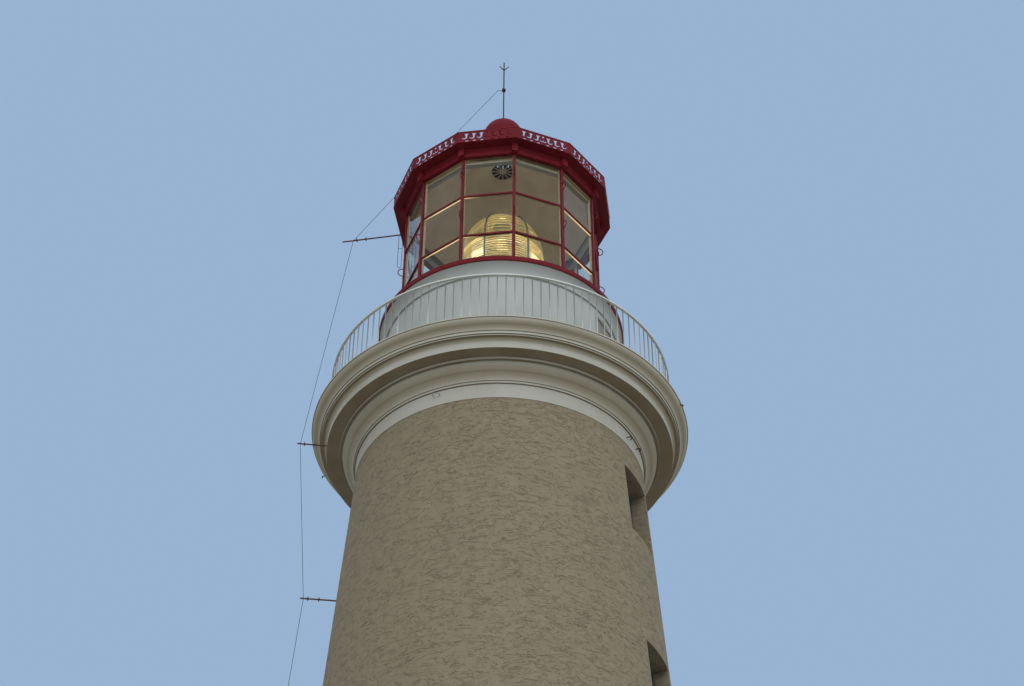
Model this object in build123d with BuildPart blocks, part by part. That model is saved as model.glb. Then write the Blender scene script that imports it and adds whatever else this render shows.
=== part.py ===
from build123d import *
from math import atan2, cos, degrees, dist, pi, radians, sin, sqrt, tan
import os

os.makedirs("parts", exist_ok=True)

# Millimetres. The origin is on the tower's axis at ground level, +Z is up, and -Y is the side
# seen first. Bearings are degrees anticlockwise from +X, seen from above.

# Tower shaft: tapered outside, a plain round shaft inside
shaft_height = 20270
foot_radius = 3695
top_radius = 2385
shaft_radius = 1785
wall_parts_per_half = 3
floor_thickness = 150

# Window bays: one row on the right, the other straight behind it
bay_bearing = -24.5
window_width = 900
window_height = 1270
window_spacing = 3320
window_drop = 520
window_rows = 5
window_recess = 260
frame_bar = 60
frame_depth = 70
pane_thickness = 8
door_height = 2100
door_thickness = 60
door_panel_recess = 14
door_rail = 130

# Cornice, from the shaft upwards
frieze_height = 275
frieze_radius = 2398
frieze_lip = 8
bed_height = 316
bed_foot_radius = 2424
bed_head_radius = 2690
bed_step = 38
bed_bead = 44
corona_height = 175
corona_radius = 2904
corona_splay_width = 56
corona_splay_height = 68
slab_height = 262
slab_radius = 3180
slab_fascia = 28
slab_fillet_radius = 3020
slab_fillet = 50
slab_foot = 22
shadow_line = 16

# Gallery
kerb_radius = 2955
kerb_width = 95
kerb_height = 95
rail_radius = 2900
rail_height = 1150
rail_width = 44
rail_thickness = 26
baluster_width = 15
balusters_per_panel = 16
rail_panels = 8
panel_joint = 3
drum_radius = 2030
drum_thickness = 20
drum_height = 1955
gallery_door_bearing = -28.5
gallery_door_width = 560
gallery_door_height = 1800
gallery_door_thickness = 30
gallery_door_set_in = 10
gallery_frame_bar = 45
gallery_frame_depth = 70
cove_foot_radius = 2063
cove_bead = 22
cove_height = 241
cove_head_radius = 2150
sill_radius = 2173
sill_width = 480
sill_height = 104

# Lantern
sides = 12
corner_bearing = 6.44
lantern_radius = 1815
mullion_width = 50
mullion_depth = 90
row_height = 955
row_count = 3
transom_height = 34
transom_depth = 56
glass_setback = 35
handhold_radius = 62
handhold_bar = 14
handhold_reach = 46
head_height = 190
head_radius = 1850
head_depth = 130
block_width = 110
block_reach = 70
soffit_thickness = 20
eave_radius = 2060

# Pierced gutter front
gutter_height = 291
gutter_thickness = 6
gutter_joint = 1
scrolls_per_half = 3
scroll_pitch = 138
scroll_drop = 160
scroll_radius = 48
scroll_hollow = 33
scroll_offset = 12
scroll_tip = 8
stem_inset = 21
flag_rise = 100
flag_width = 78
flag_reach = 28
cup_radius = 32
cup_hollow = 22
cup_offset = 12
cup_pitch = 58
slot_width = 54
slot_height = 26
slot_rise = 34
slot_lead = 46
eye_radius = 22
eye_drop = 73

# Roof and ceiling
roof_pitch = 38
roof_skin = 14
roof_inset = 60
neck_radius = 215
neck_height = 553
neck_skin = 12
neck_vent_width = 30
neck_vent_height = 90
neck_vents = 12
ball_radius = 400
ceiling_clearance = 84
ceiling_skin = 8
ceiling_seat = 30
blind_rail_radius = 1745
blind_rail_width = 92
blind_rail_height = 40
blind_rail_drop = 100
rosette_radius = 230
rosette_thickness = 12
rosette_spokes = 12
rosette_hub = 60
rosette_bar = 18

# Lightning rod and its conductor
rod_width = 22
rod_foot_radius = 46
rod_foot_thickness = 22
rod_height = 1910
fork_drop = 250
fork_width = 14
fork_reach = 95
fork_rise = 130
clamp_drop = 860
clamp_width = 70
clamp_height = 40
conductor_corner = 6
conductor_width = 8
wire_bend = 40
earth_run = 300
gutter_clearance = 12
bracket_bar = 18
lantern_bracket_length = 1190
lantern_bracket_droop = 17
lantern_bracket_catch = 990
cornice_bracket_length = 490
wall_bracket_length = 560
wall_bracket_drop = 3000
wall_bracket_spacing = 2760
lowest_bracket_level = 1000
bracket_catch_setback = 50
insulator_radius = 40
insulator_thickness = 24
insulator_setback = 70
insulator_gap = 170

# Light
lens_radius = 780
lens_wall = 70
lens_foot_height = 3120
lens_base_height = 360
lens_base_inset = 120
lens_base_rings = 3
lens_belt_height = 760
lens_bull_height = 200
lens_belt_rings = 3
lens_dome_height = 930
lens_dome_rings = 5
lens_crown_radius = 210
prism_groove = 16
lens_ribs = 6
rib_width = 26
rib_depth = 30
lamp_radius = 70
lamp_height = 240
lamp_stand_radius = 40
lamp_stand_foot = 30
pedestal_radius = 260
pedestal_flange = 20
table_radius = 860
table_thickness = 60

# Levels worked out from the sizes above
bed_level = shaft_height + frieze_height
corona_level = bed_level + bed_height
slab_level = corona_level + corona_height
gallery_level = slab_level + slab_height
cove_level = gallery_level + drum_height
sill_level = cove_level + cove_height
glass_level = sill_level + sill_height
row_step = row_height + transom_height
head_level = glass_level + row_count * row_step - transom_height
soffit_level = head_level + head_height
gutter_level = soffit_level + soffit_thickness
eave_level = soffit_level + gutter_height
side_angle = 360 / sides


def save(piece, name):
    """Names a finished piece and writes it to its own file."""
    piece.label = name
    export_step(piece, f"parts/{name}.step")


def upright(bearing, sideways=0):
    """An upright plane at a bearing: its x runs outwards from the axis and its y runs up."""
    turn = radians(bearing)
    return Plane(
        origin=(-sideways * sin(turn), sideways * cos(turn), 0),
        x_dir=(cos(turn), sin(turn), 0),
        z_dir=(sin(turn), -cos(turn), 0),
    )


def outward(bearing, reach, level):
    """A place at a distance from the axis, whose x points outwards and whose z points up."""
    turn = radians(bearing)
    return Plane(
        origin=(reach * cos(turn), reach * sin(turn), level),
        x_dir=(cos(turn), sin(turn), 0),
        z_dir=(0, 0, 1),
    )


def facing(bearing, reach, level):
    """A plane seen square on from outside: its x runs to the right and its y runs up."""
    turn = radians(bearing)
    return Plane(
        origin=(reach * cos(turn), reach * sin(turn), level),
        x_dir=(-sin(turn), cos(turn), 0),
        z_dir=(cos(turn), sin(turn), 0),
    )


def wall_radius(level):
    """Outer radius of the tapered shaft at a level."""
    return foot_radius + (top_radius - foot_radius) * level / shaft_height


def side_distance(corner_radius):
    """Distance from the axis to the flat sides of a regular outline whose corners are at a distance."""
    return corner_radius * cos(radians(side_angle / 2))


def corner_distance(flat_distance):
    """Distance from the axis to the corners of a regular outline whose flat sides are at a distance."""
    return flat_distance / cos(radians(side_angle / 2))


def many_sided(corner_radius, mode=Mode.ADD):
    """Outline of the lantern's many sides, with its corners at a distance from the axis."""
    RegularPolygon(corner_radius, sides, rotation=corner_bearing, mode=mode)


# Ground floor slab, inside the foot of the wall
with BuildPart() as ground_floor:
    with BuildSketch(Plane.XY):
        Circle(shaft_radius)
    extrude(amount=floor_thickness)
save(ground_floor.part, "ground_floor")

# Masonry wall in equal parts between the two window bays
wall_outline = [
    (shaft_radius, 0),
    (foot_radius, 0),
    (top_radius, shaft_height),
    (shaft_radius, shaft_height),
]
wall_parts = 2 * wall_parts_per_half
part_angle = 360 / wall_parts
for number in range(wall_parts):
    with BuildPart() as tower_wall:
        with BuildSketch(upright(bay_bearing + number * part_angle)):
            Polygon(*wall_outline, align=None)
        revolve(axis=Axis.Z, revolution_arc=part_angle)
        with Locations(outward(bay_bearing, 0, shaft_height / 2)):
            Box(3 * foot_radius, window_width, 2 * shaft_height, mode=Mode.SUBTRACT)
    save(tower_wall.part, f"tower_wall_{number + 1}")

# Window bays: the masonry over, between and under the openings of one row
window_heads = [shaft_height - window_drop - row * window_spacing for row in range(window_rows)]
door_head = floor_thickness + door_height
wall_middle = (shaft_radius + foot_radius) / 2
through_wall = 2 * (foot_radius - shaft_radius)
for side, bearing in (("right", bay_bearing), ("left", bay_bearing + 180)):
    with BuildPart() as window_bay:
        with BuildSketch(upright(bearing - part_angle / 2)):
            Polygon(*wall_outline, align=None)
        revolve(axis=Axis.Z, revolution_arc=part_angle)
        with Locations(outward(bearing, foot_radius, shaft_height / 2)):
            Box(2 * foot_radius, window_width, 2 * shaft_height, mode=Mode.INTERSECT)
        openings = [outward(bearing, wall_middle, head - window_height / 2) for head in window_heads]
        with Locations(*openings):
            Box(through_wall, 2 * window_width, window_height, mode=Mode.SUBTRACT)
        if side == "right":
            with Locations(outward(bearing, wall_middle, floor_thickness + door_height / 2)):
                Box(through_wall, 2 * window_width, door_height, mode=Mode.SUBTRACT)
    save(window_bay.part, f"window_bay_{side}")

# Window frames and panes, set back in the reveals
window_places = [
    outward(bearing, wall_radius(head) - window_recess - frame_depth / 2, head - window_height / 2)
    for bearing in (bay_bearing, bay_bearing + 180)
    for head in window_heads
]
light_width = window_width - 2 * frame_bar
light_height = window_height - 2 * frame_bar
with BuildPart() as window_frames:
    with Locations(*window_places):
        Box(frame_depth, window_width, window_height)
        Box(frame_depth, light_width, light_height, mode=Mode.SUBTRACT)
save(window_frames.part, "window_frames")

with BuildPart() as window_panes:
    with Locations(*window_places):
        Box(pane_thickness, light_width, light_height)
save(window_panes.part, "window_panes")

# Entrance door under the right row of windows, panelled and shut in its frame
door_reach = wall_radius(door_head) - window_recess - frame_depth / 2
leaf_height = door_height - frame_bar
with BuildPart() as door_frame:
    with Locations(outward(bay_bearing, door_reach, floor_thickness + door_height / 2)):
        Box(frame_depth, window_width, door_height)
    with Locations(outward(bay_bearing, door_reach, floor_thickness + leaf_height / 2)):
        Box(frame_depth, light_width, leaf_height, mode=Mode.SUBTRACT)
save(door_frame.part, "door_frame")

panel_height = (leaf_height - 3 * door_rail) / 2
with BuildPart() as entrance_door:
    with Locations(outward(bay_bearing, door_reach, floor_thickness + leaf_height / 2)):
        Box(door_thickness, light_width, leaf_height)
    door_face = facing(bay_bearing, door_reach + door_thickness / 2, floor_thickness + leaf_height / 2)
    with BuildSketch(door_face):
        with GridLocations(0, panel_height + door_rail, 1, 2):
            Rectangle(light_width - 2 * door_rail, panel_height)
    extrude(amount=-door_panel_recess, mode=Mode.SUBTRACT)
save(entrance_door.part, "entrance_door")

# Frieze: a plain white band round the top of the shaft
with BuildPart() as frieze:
    with BuildSketch(Plane.XZ):
        Polygon(
            (shaft_radius, shaft_height),
            (top_radius + frieze_lip, shaft_height),
            (frieze_radius, bed_level),
            (shaft_radius, bed_level),
            align=None,
        )
    revolve(axis=Axis.Z)
save(frieze.part, "frieze")

# Bed moulding: a fillet, a hollow, a round and a bead, out to the soffit
with BuildPart() as bed_moulding:
    with BuildSketch(Plane.XZ):
        with BuildLine():
            step_level = bed_level + bed_step
            wave_foot = (bed_foot_radius + shadow_line, step_level)
            wave_head = (bed_head_radius - bed_bead - shadow_line, corona_level - bed_bead)
            wave_middle = ((wave_foot[0] + wave_head[0]) / 2, (wave_foot[1] + wave_head[1]) / 2)
            Polyline(
                (shaft_radius, bed_level),
                (bed_foot_radius, bed_level),
                (bed_foot_radius, step_level),
                wave_foot,
            )
            TangentArc(wave_foot, wave_middle, tangent=(0.2, 1))
            TangentArc(wave_head, wave_middle, tangent=(-0.2, -1))
            Polyline(
                wave_head,
                (bed_head_radius, wave_head[1]),
                (bed_head_radius, corona_level),
                (shaft_radius, corona_level),
                (shaft_radius, bed_level),
            )
        make_face()
    revolve(axis=Axis.Z)
save(bed_moulding.part, "bed_moulding")

# Corona: the upright face over a flat soffit, with a cove out to the slab
with BuildPart() as corona:
    with BuildSketch(Plane.XZ):
        with BuildLine():
            splay_foot = (corona_radius, slab_level - corona_splay_height)
            splay_head = (corona_radius + corona_splay_width, slab_level)
            Polyline(
                splay_head,
                (shaft_radius, slab_level),
                (shaft_radius, corona_level),
                (corona_radius, corona_level),
                splay_foot,
            )
            TangentArc(splay_foot, splay_head, tangent=(0, 1))
        make_face()
    revolve(axis=Axis.Z)
save(corona.part, "corona")

# Gallery slab: a full disc with a fascia, a curved edge and a fillet below
with BuildPart() as gallery_slab:
    with BuildSketch(Plane.XZ):
        with BuildLine():
            fillet_level = slab_level + slab_foot + slab_fillet
            wave_head = (slab_radius - shadow_line, gallery_level - slab_fascia - shadow_line / 2)
            wave_foot = (slab_fillet_radius + shadow_line, fillet_level)
            wave_middle = ((wave_head[0] + wave_foot[0]) / 2, (wave_head[1] + wave_foot[1]) / 2)
            Polyline(
                (0, slab_level),
                (0, gallery_level),
                (slab_radius, gallery_level),
                (slab_radius, gallery_level - slab_fascia),
                (wave_head[0], gallery_level - slab_fascia),
                wave_head,
            )
            TangentArc(wave_head, wave_middle, tangent=(-0.25, -1))
            TangentArc(wave_foot, wave_middle, tangent=(0.25, 1))
            Polyline(
                wave_foot,
                (slab_fillet_radius, fillet_level),
                (slab_fillet_radius, slab_level + slab_foot),
                (slab_fillet_radius - slab_foot, slab_level + slab_foot),
                (slab_fillet_radius - slab_foot, slab_level),
                (0, slab_level),
            )
        make_face()
    revolve(axis=Axis.Z)
save(gallery_slab.part, "gallery_slab")

# Kerb that carries the railing
with BuildPart() as kerb:
    with BuildSketch(Plane.XY.offset(gallery_level)):
        Circle(kerb_radius)
        Circle(kerb_radius - kerb_width, mode=Mode.SUBTRACT)
    extrude(amount=kerb_height)
save(kerb.part, "kerb")

# Railing: curved panels, each a flat top rail on square balusters, two panels to a quarter
rail_foot = gallery_level + kerb_height
rail_head = gallery_level + rail_height
panel_angle = 360 / rail_panels
joint_angle = panel_joint / rail_radius * 180 / pi
baluster_angle = panel_angle / balusters_per_panel
quarter = rail_panels // 4
for number in range(4):
    quarter_start = -90 + number * 90
    with BuildPart() as railing:
        for panel in range(quarter):
            with BuildSketch(upright(quarter_start + panel * panel_angle + joint_angle / 2)):
                with Locations((rail_radius, rail_head - rail_thickness / 2)):
                    Rectangle(rail_width, rail_thickness)
            revolve(axis=Axis.Z, revolution_arc=panel_angle - joint_angle)
        with BuildSketch(Plane.XY.offset(rail_foot)):
            with PolarLocations(
                rail_radius,
                quarter * balusters_per_panel,
                start_angle=quarter_start + baluster_angle / 2,
                angular_range=90,
            ):
                Rectangle(baluster_width, baluster_width)
        extrude(amount=rail_height - kerb_height - rail_thickness)
    save(railing.part, f"railing_{number + 1}")

# Drum: the round iron wall under the lantern, with an opening for its door
doorway_width = gallery_door_width + 2 * gallery_frame_bar
doorway_height = gallery_door_height + gallery_frame_bar
with BuildPart() as drum_wall:
    with BuildSketch(Plane.XY.offset(gallery_level)):
        Circle(drum_radius)
        Circle(drum_radius - drum_thickness, mode=Mode.SUBTRACT)
    extrude(amount=drum_height)
    with Locations(outward(gallery_door_bearing, drum_radius, gallery_level + doorway_height / 2)):
        Box(drum_radius / 2, doorway_width, doorway_height, mode=Mode.SUBTRACT)
save(drum_wall.part, "drum_wall")

# Gallery door, flat and shut, in its frame
frame_reach = drum_radius - gallery_door_set_in - gallery_frame_depth / 2
with BuildPart() as gallery_door_frame:
    with Locations(outward(gallery_door_bearing, frame_reach, gallery_level + doorway_height / 2)):
        Box(gallery_frame_depth, doorway_width, doorway_height)
    with Locations(outward(gallery_door_bearing, frame_reach, gallery_level + gallery_door_height / 2)):
        Box(gallery_frame_depth, gallery_door_width, gallery_door_height, mode=Mode.SUBTRACT)
save(gallery_door_frame.part, "gallery_door_frame")

with BuildPart() as gallery_door:
    with Locations(outward(gallery_door_bearing, frame_reach, gallery_level + gallery_door_height / 2)):
        Box(gallery_door_thickness, gallery_door_width, gallery_door_height)
save(gallery_door.part, "gallery_door")

# Cove: a bead and a hollow that carry the drum out to the sill
with BuildPart() as drum_cove:
    with BuildSketch(Plane.XZ):
        with BuildLine():
            hollow_foot = (drum_radius, cove_level + cove_bead)
            hollow_head = (cove_head_radius, sill_level)
            Polyline(
                hollow_foot,
                (cove_foot_radius, cove_level + cove_bead),
                (cove_foot_radius, cove_level),
                (drum_radius - drum_thickness, cove_level),
                (drum_radius - drum_thickness, sill_level),
                hollow_head,
            )
            TangentArc(hollow_foot, hollow_head, tangent=(0, 1))
        make_face()
    revolve(axis=Axis.Z)
save(drum_cove.part, "drum_cove")

# Sill ring that the lantern stands on
with BuildPart() as sill_ring:
    with BuildSketch(Plane.XY.offset(sill_level)):
        Circle(sill_radius)
        Circle(sill_radius - sill_width, mode=Mode.SUBTRACT)
    extrude(amount=sill_height)
save(sill_ring.part, "sill_ring")

# Mullions: flat bars on the corners of the lantern
mullion_reach = lantern_radius - mullion_depth / 2
with BuildPart() as mullions:
    with BuildSketch(Plane.XY.offset(glass_level)):
        with PolarLocations(mullion_reach, sides, start_angle=corner_bearing):
            Rectangle(mullion_depth, mullion_width)
    extrude(amount=head_level - glass_level)
save(mullions.part, "mullions")

# Transoms: level bars between the mullions
glass_radius = lantern_radius - glass_setback
for name, row in (("lower_transoms", 1), ("upper_transoms", 2)):
    with BuildPart() as transoms:
        with BuildSketch(Plane.XY.offset(glass_level + row * row_step - transom_height)):
            many_sided(glass_radius + transom_depth / 2)
            many_sided(glass_radius - transom_depth / 2, mode=Mode.SUBTRACT)
            with PolarLocations(mullion_reach, sides, start_angle=corner_bearing):
                Rectangle(mullion_depth, mullion_width, mode=Mode.SUBTRACT)
        extrude(amount=transom_height)
    save(transoms.part, name)

# Panes: flat glass in every opening of the rows
with BuildPart() as lantern_panes:
    for row in range(row_count):
        with BuildSketch(Plane.XY.offset(glass_level + row * row_step)):
            many_sided(glass_radius + pane_thickness / 2)
            many_sided(glass_radius - pane_thickness / 2, mode=Mode.SUBTRACT)
            with PolarLocations(mullion_reach, sides, start_angle=corner_bearing):
                Rectangle(mullion_depth, mullion_width, mode=Mode.SUBTRACT)
        extrude(amount=row_height)
save(lantern_panes.part, "lantern_panes")

# Handholds: rings bent from bar on the outer face of the mullions, at the middle and upper rows.
# The conductor's bracket takes the place of one upper ring.
with BuildPart() as handholds:
    for row in (1, 2):
        ring_level = glass_level + row * row_step + row_height / 2
        for corner in range(sides):
            if row == 2 and corner == conductor_corner:
                continue
            with BuildSketch(upright(corner_bearing + corner * side_angle)):
                with Locations((lantern_radius + handhold_reach, ring_level)):
                    Circle(handhold_radius)
                    Circle(handhold_radius - handhold_bar, mode=Mode.SUBTRACT)
                with Locations((lantern_radius - handhold_radius, ring_level)):
                    Rectangle(2 * handhold_radius, 2 * handhold_radius, mode=Mode.SUBTRACT)
            extrude(amount=handhold_bar / 2, both=True)
save(handholds.part, "handholds")

# Head band over the glass, with a block at each corner
with BuildPart() as head_band:
    with BuildSketch(Plane.XY.offset(head_level)):
        many_sided(head_radius)
        block_middle = head_radius - (head_depth - block_reach) / 2
        with PolarLocations(block_middle, sides, start_angle=corner_bearing):
            Rectangle(head_depth + block_reach, block_width)
        many_sided(head_radius - head_depth, mode=Mode.SUBTRACT)
    extrude(amount=head_height)
save(head_band.part, "head_band")

# Eave soffit: a flat plate from the head band out to the gutter front, open inside for the ceiling
plate_reach = side_distance(eave_radius) - gutter_thickness
ceiling_radius = head_radius - head_depth + ceiling_seat
with BuildPart() as eave_soffit:
    with BuildSketch(Plane.XY.offset(soffit_level)):
        many_sided(corner_distance(plate_reach))
        many_sided(ceiling_radius, mode=Mode.SUBTRACT)
    extrude(amount=soffit_thickness)
save(eave_soffit.part, "eave_soffit")


def scroll(hand):
    """Outline of one pierced scroll: half a crescent, and a stem that widens upwards to a flag."""
    flag_side = scroll_radius + flag_reach
    with BuildSketch() as outline:
        Circle(scroll_radius)
        with Locations((-hand * scroll_offset, scroll_offset)):
            Circle(scroll_hollow, mode=Mode.SUBTRACT)
        with Locations((hand * (stem_inset - scroll_radius), scroll_tip + scroll_radius / 2)):
            Rectangle(2 * scroll_radius, scroll_radius, mode=Mode.SUBTRACT)
        Polygon(
            (hand * stem_inset, 0),
            (hand * scroll_radius, 0),
            (hand * (scroll_radius + flag_reach / 6), flag_rise / 2),
            (hand * flag_side, flag_rise),
            (hand * (flag_side - flag_width), flag_rise),
            (hand * (stem_inset - flag_reach / 6), flag_rise / 2),
            align=None,
        )
    return outline.sketch


def cup():
    """Outline of half the middle ornament: a small crescent open at the top."""
    with BuildSketch() as outline:
        Circle(cup_radius)
        with Locations((0, cup_offset)):
            Circle(cup_hollow, mode=Mode.SUBTRACT)
    return outline.sketch


# Gutter front: one flat plate to each side, from the soffit's underside up. It is pierced with scrolls
# that turn away from its middle, two joined crescents and an eye in the middle, and a row of slots below.
plate_height = eave_level - soffit_level
plate_width = 2 * plate_reach * tan(radians(side_angle / 2)) - gutter_joint
scroll_level = plate_height / 2 - scroll_drop
cup_level = scroll_level - scroll_radius + cup_radius
slot_level = slot_rise - plate_height / 2
scrolls = {-1: scroll(-1), 1: scroll(1)}
middle_cup = cup()
with BuildPart() as gutter_fretwork:
    for number in range(sides):
        middle = corner_bearing + (number + 0.5) * side_angle
        with BuildSketch(facing(middle, plate_reach, soffit_level + plate_height / 2)):
            Rectangle(plate_width, plate_height)
            for step in range(1, scrolls_per_half + 1):
                for hand in (-1, 1):
                    with Locations((hand * step * scroll_pitch, scroll_level)):
                        add(scrolls[-hand], mode=Mode.SUBTRACT)
                    with Locations((hand * (step * scroll_pitch - slot_lead), slot_level)):
                        Rectangle(slot_width, slot_height, mode=Mode.SUBTRACT)
            with Locations((-cup_pitch / 2, cup_level), (cup_pitch / 2, cup_level)):
                add(middle_cup, mode=Mode.SUBTRACT)
            with Locations((0, plate_height / 2 - eye_drop)):
                Circle(eye_radius, mode=Mode.SUBTRACT)
        extrude(amount=gutter_thickness)
save(gutter_fretwork.part, "gutter_fretwork")

# Roof: a many-sided cone of plate, from behind the gutter up to the vent neck
roof_foot = side_distance(eave_radius - roof_inset)
roof_rise = (roof_foot - neck_radius) * tan(radians(roof_pitch))
neck_level = gutter_level + roof_rise
skin_width = roof_skin / sin(radians(roof_pitch))
with BuildPart() as roof:
    with BuildSketch(Plane.XY.offset(gutter_level)):
        many_sided(corner_distance(roof_foot))
    extrude(amount=roof_rise, taper=90 - roof_pitch)
    with BuildSketch(Plane.XY.offset(gutter_level)):
        many_sided(corner_distance(roof_foot - skin_width))
    extrude(amount=roof_rise, taper=90 - roof_pitch, mode=Mode.SUBTRACT)
save(roof.part, "roof")

# Rail of the sun blind: a flat ring just inside the glass, let in round the mullions that carry it
with BuildPart() as ceiling_moulding:
    with BuildSketch(Plane.XY.offset(head_level - blind_rail_drop)):
        many_sided(blind_rail_radius)
        many_sided(blind_rail_radius - blind_rail_width, mode=Mode.SUBTRACT)
        with PolarLocations(mullion_reach, sides, start_angle=corner_bearing):
            Rectangle(mullion_depth, mullion_width, mode=Mode.SUBTRACT)
    extrude(amount=blind_rail_height)
save(ceiling_moulding.part, "ceiling_moulding")

# Ceiling: a lining under the roof, from the head band up to the rosette
ceiling_foot = side_distance(ceiling_radius)
ceiling_rise = neck_level - ceiling_clearance - soffit_level
ceiling_slope = atan2(ceiling_rise, ceiling_foot - rosette_radius)
ceiling_taper = 90 - degrees(ceiling_slope)
lining_width = ceiling_skin / sin(ceiling_slope)
with BuildPart() as ceiling:
    with BuildSketch(Plane.XY.offset(soffit_level)):
        many_sided(ceiling_radius)
    extrude(amount=ceiling_rise, taper=ceiling_taper)
    with BuildSketch(Plane.XY.offset(soffit_level)):
        many_sided(corner_distance(ceiling_foot - lining_width))
    extrude(amount=ceiling_rise, taper=ceiling_taper, mode=Mode.SUBTRACT)
save(ceiling.part, "ceiling")

# Rosette: a spoked plate that closes the top of the ceiling
with BuildPart() as ceiling_rosette:
    with BuildSketch(Plane.XY.offset(soffit_level + ceiling_rise)):
        Circle(rosette_radius)
        Circle(rosette_radius - rosette_bar, mode=Mode.SUBTRACT)
        Circle(rosette_hub)
        with PolarLocations((rosette_hub + rosette_radius - rosette_bar) / 2, rosette_spokes):
            Rectangle(rosette_radius - rosette_hub, rosette_bar)
    extrude(amount=rosette_thickness)
save(ceiling_rosette.part, "ceiling_rosette")

# Vent neck between the roof and the ball, with upright vents
with BuildPart() as vent_neck:
    with BuildSketch(Plane.XY.offset(neck_level)):
        Circle(neck_radius)
        Circle(neck_radius - neck_skin, mode=Mode.SUBTRACT)
    extrude(amount=neck_height)
    with BuildSketch(Plane.XY.offset(neck_level + (neck_height - neck_vent_height) / 2)):
        with PolarLocations(neck_radius, neck_vents):
            Rectangle(4 * neck_skin, neck_vent_width)
    extrude(amount=neck_vent_height, mode=Mode.SUBTRACT)
save(vent_neck.part, "vent_neck")

# Ventilator ball, cut flat where it sits on its neck and where it carries the rod
ball_foot = neck_level + neck_height
ball_level = ball_foot + sqrt(ball_radius**2 - neck_radius**2)
rod_level = ball_level + sqrt(ball_radius**2 - rod_foot_radius**2)
with BuildPart() as ventilator_ball:
    with Locations((0, 0, ball_level)):
        Sphere(ball_radius)
    with Locations((0, 0, ball_foot - ball_radius), (0, 0, rod_level + ball_radius)):
        Box(2 * ball_radius, 2 * ball_radius, 2 * ball_radius, mode=Mode.SUBTRACT)
save(ventilator_ball.part, "ventilator_ball")

# Lightning rod: a square bar on a round foot, with a clamp for the conductor and a fork of two prongs
clamp_level = rod_level + rod_height - clamp_drop
fork_level = rod_level + rod_height - fork_drop
conductor_bearing = corner_bearing + conductor_corner * side_angle
with BuildPart() as lightning_rod:
    with BuildSketch(Plane.XY.offset(rod_level)):
        Circle(rod_foot_radius)
    extrude(amount=rod_foot_thickness)
    with Locations(outward(conductor_bearing, 0, rod_level + (rod_foot_thickness + rod_height) / 2)):
        Box(rod_width, rod_width, rod_height - rod_foot_thickness)
    with Locations(outward(conductor_bearing, 0, clamp_level)):
        Box(clamp_width, clamp_width, clamp_height)
    with BuildSketch(upright(conductor_bearing)):
        for hand in (-1, 1):
            Polygon(
                (0, fork_level),
                (hand * fork_reach, fork_level + fork_rise),
                (hand * fork_reach, fork_level + fork_rise + fork_width),
                (0, fork_level + 2 * fork_width),
                align=None,
            )
    extrude(amount=fork_width / 2, both=True)
save(lightning_rod.part, "lightning_rod")

# Stand-off brackets for the conductor: a drooping one on the lantern, one on the corona and the rest
# down the wall. Each place is where the bar leaves its seat, its length, its slope and where it
# catches the wire.
lantern_seat = head_level - row_height / 2
cornice_seat = corona_level + (slab_level - corona_splay_height - corona_level) / 2
cornice_bracket_catch = cornice_bracket_length - bracket_catch_setback
wall_bracket_catch = wall_bracket_length - bracket_catch_setback
bracket_places = [
    (lantern_radius, lantern_seat, lantern_bracket_length, lantern_bracket_droop, lantern_bracket_catch),
    (corona_radius, cornice_seat, cornice_bracket_length, 0, cornice_bracket_catch),
]
highest_wall_seat = corona_level - wall_bracket_drop
wall_bracket_gaps = int((highest_wall_seat - lowest_bracket_level) // wall_bracket_spacing)
for number in range(wall_bracket_gaps + 1):
    seat = highest_wall_seat - number * wall_bracket_spacing
    bracket_places.append(
        (wall_radius(seat - bracket_bar / 2), seat, wall_bracket_length, 0, wall_bracket_catch)
    )


def along_bracket(seat_reach, seat, slope):
    """A plane at a bracket's seat: its x runs out along the bar, its y upwards and its z sideways."""
    turn = radians(conductor_bearing)
    droop = radians(slope)
    return Plane(
        origin=(seat_reach * cos(turn), seat_reach * sin(turn), seat),
        x_dir=(cos(turn) * cos(droop), sin(turn) * cos(droop), -sin(droop)),
        z_dir=(sin(turn), -cos(turn), 0),
    )


with BuildPart() as conductor_brackets:
    for seat_reach, seat, length, slope, catch in bracket_places:
        tuck = bracket_bar / 2 * tan(radians(slope))
        with BuildSketch(along_bracket(seat_reach, seat, slope)):
            Polygon(
                (tuck, -bracket_bar / 2),
                (length, -bracket_bar / 2),
                (length, bracket_bar / 2),
                (-tuck, bracket_bar / 2),
                align=None,
            )
        extrude(amount=bracket_bar / 2, both=True)
save(conductor_brackets.part, "conductor_brackets")

# Insulators: two ceramic discs threaded on each bracket, inside the wire
with BuildPart() as insulators:
    for seat_reach, seat, length, slope, catch in bracket_places:
        for setback in (insulator_setback, insulator_setback + insulator_gap):
            bar_plane = along_bracket(seat_reach, seat, slope)
            disc_plane = Plane(
                origin=bar_plane.from_local_coords((catch - setback, 0, 0)),
                x_dir=bar_plane.y_dir,
                z_dir=bar_plane.x_dir,
            )
            with BuildSketch(disc_plane):
                Circle(insulator_radius)
                Rectangle(bracket_bar, bracket_bar, mode=Mode.SUBTRACT)
            extrude(amount=insulator_thickness / 2, both=True)
save(insulators.part, "insulators")

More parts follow.
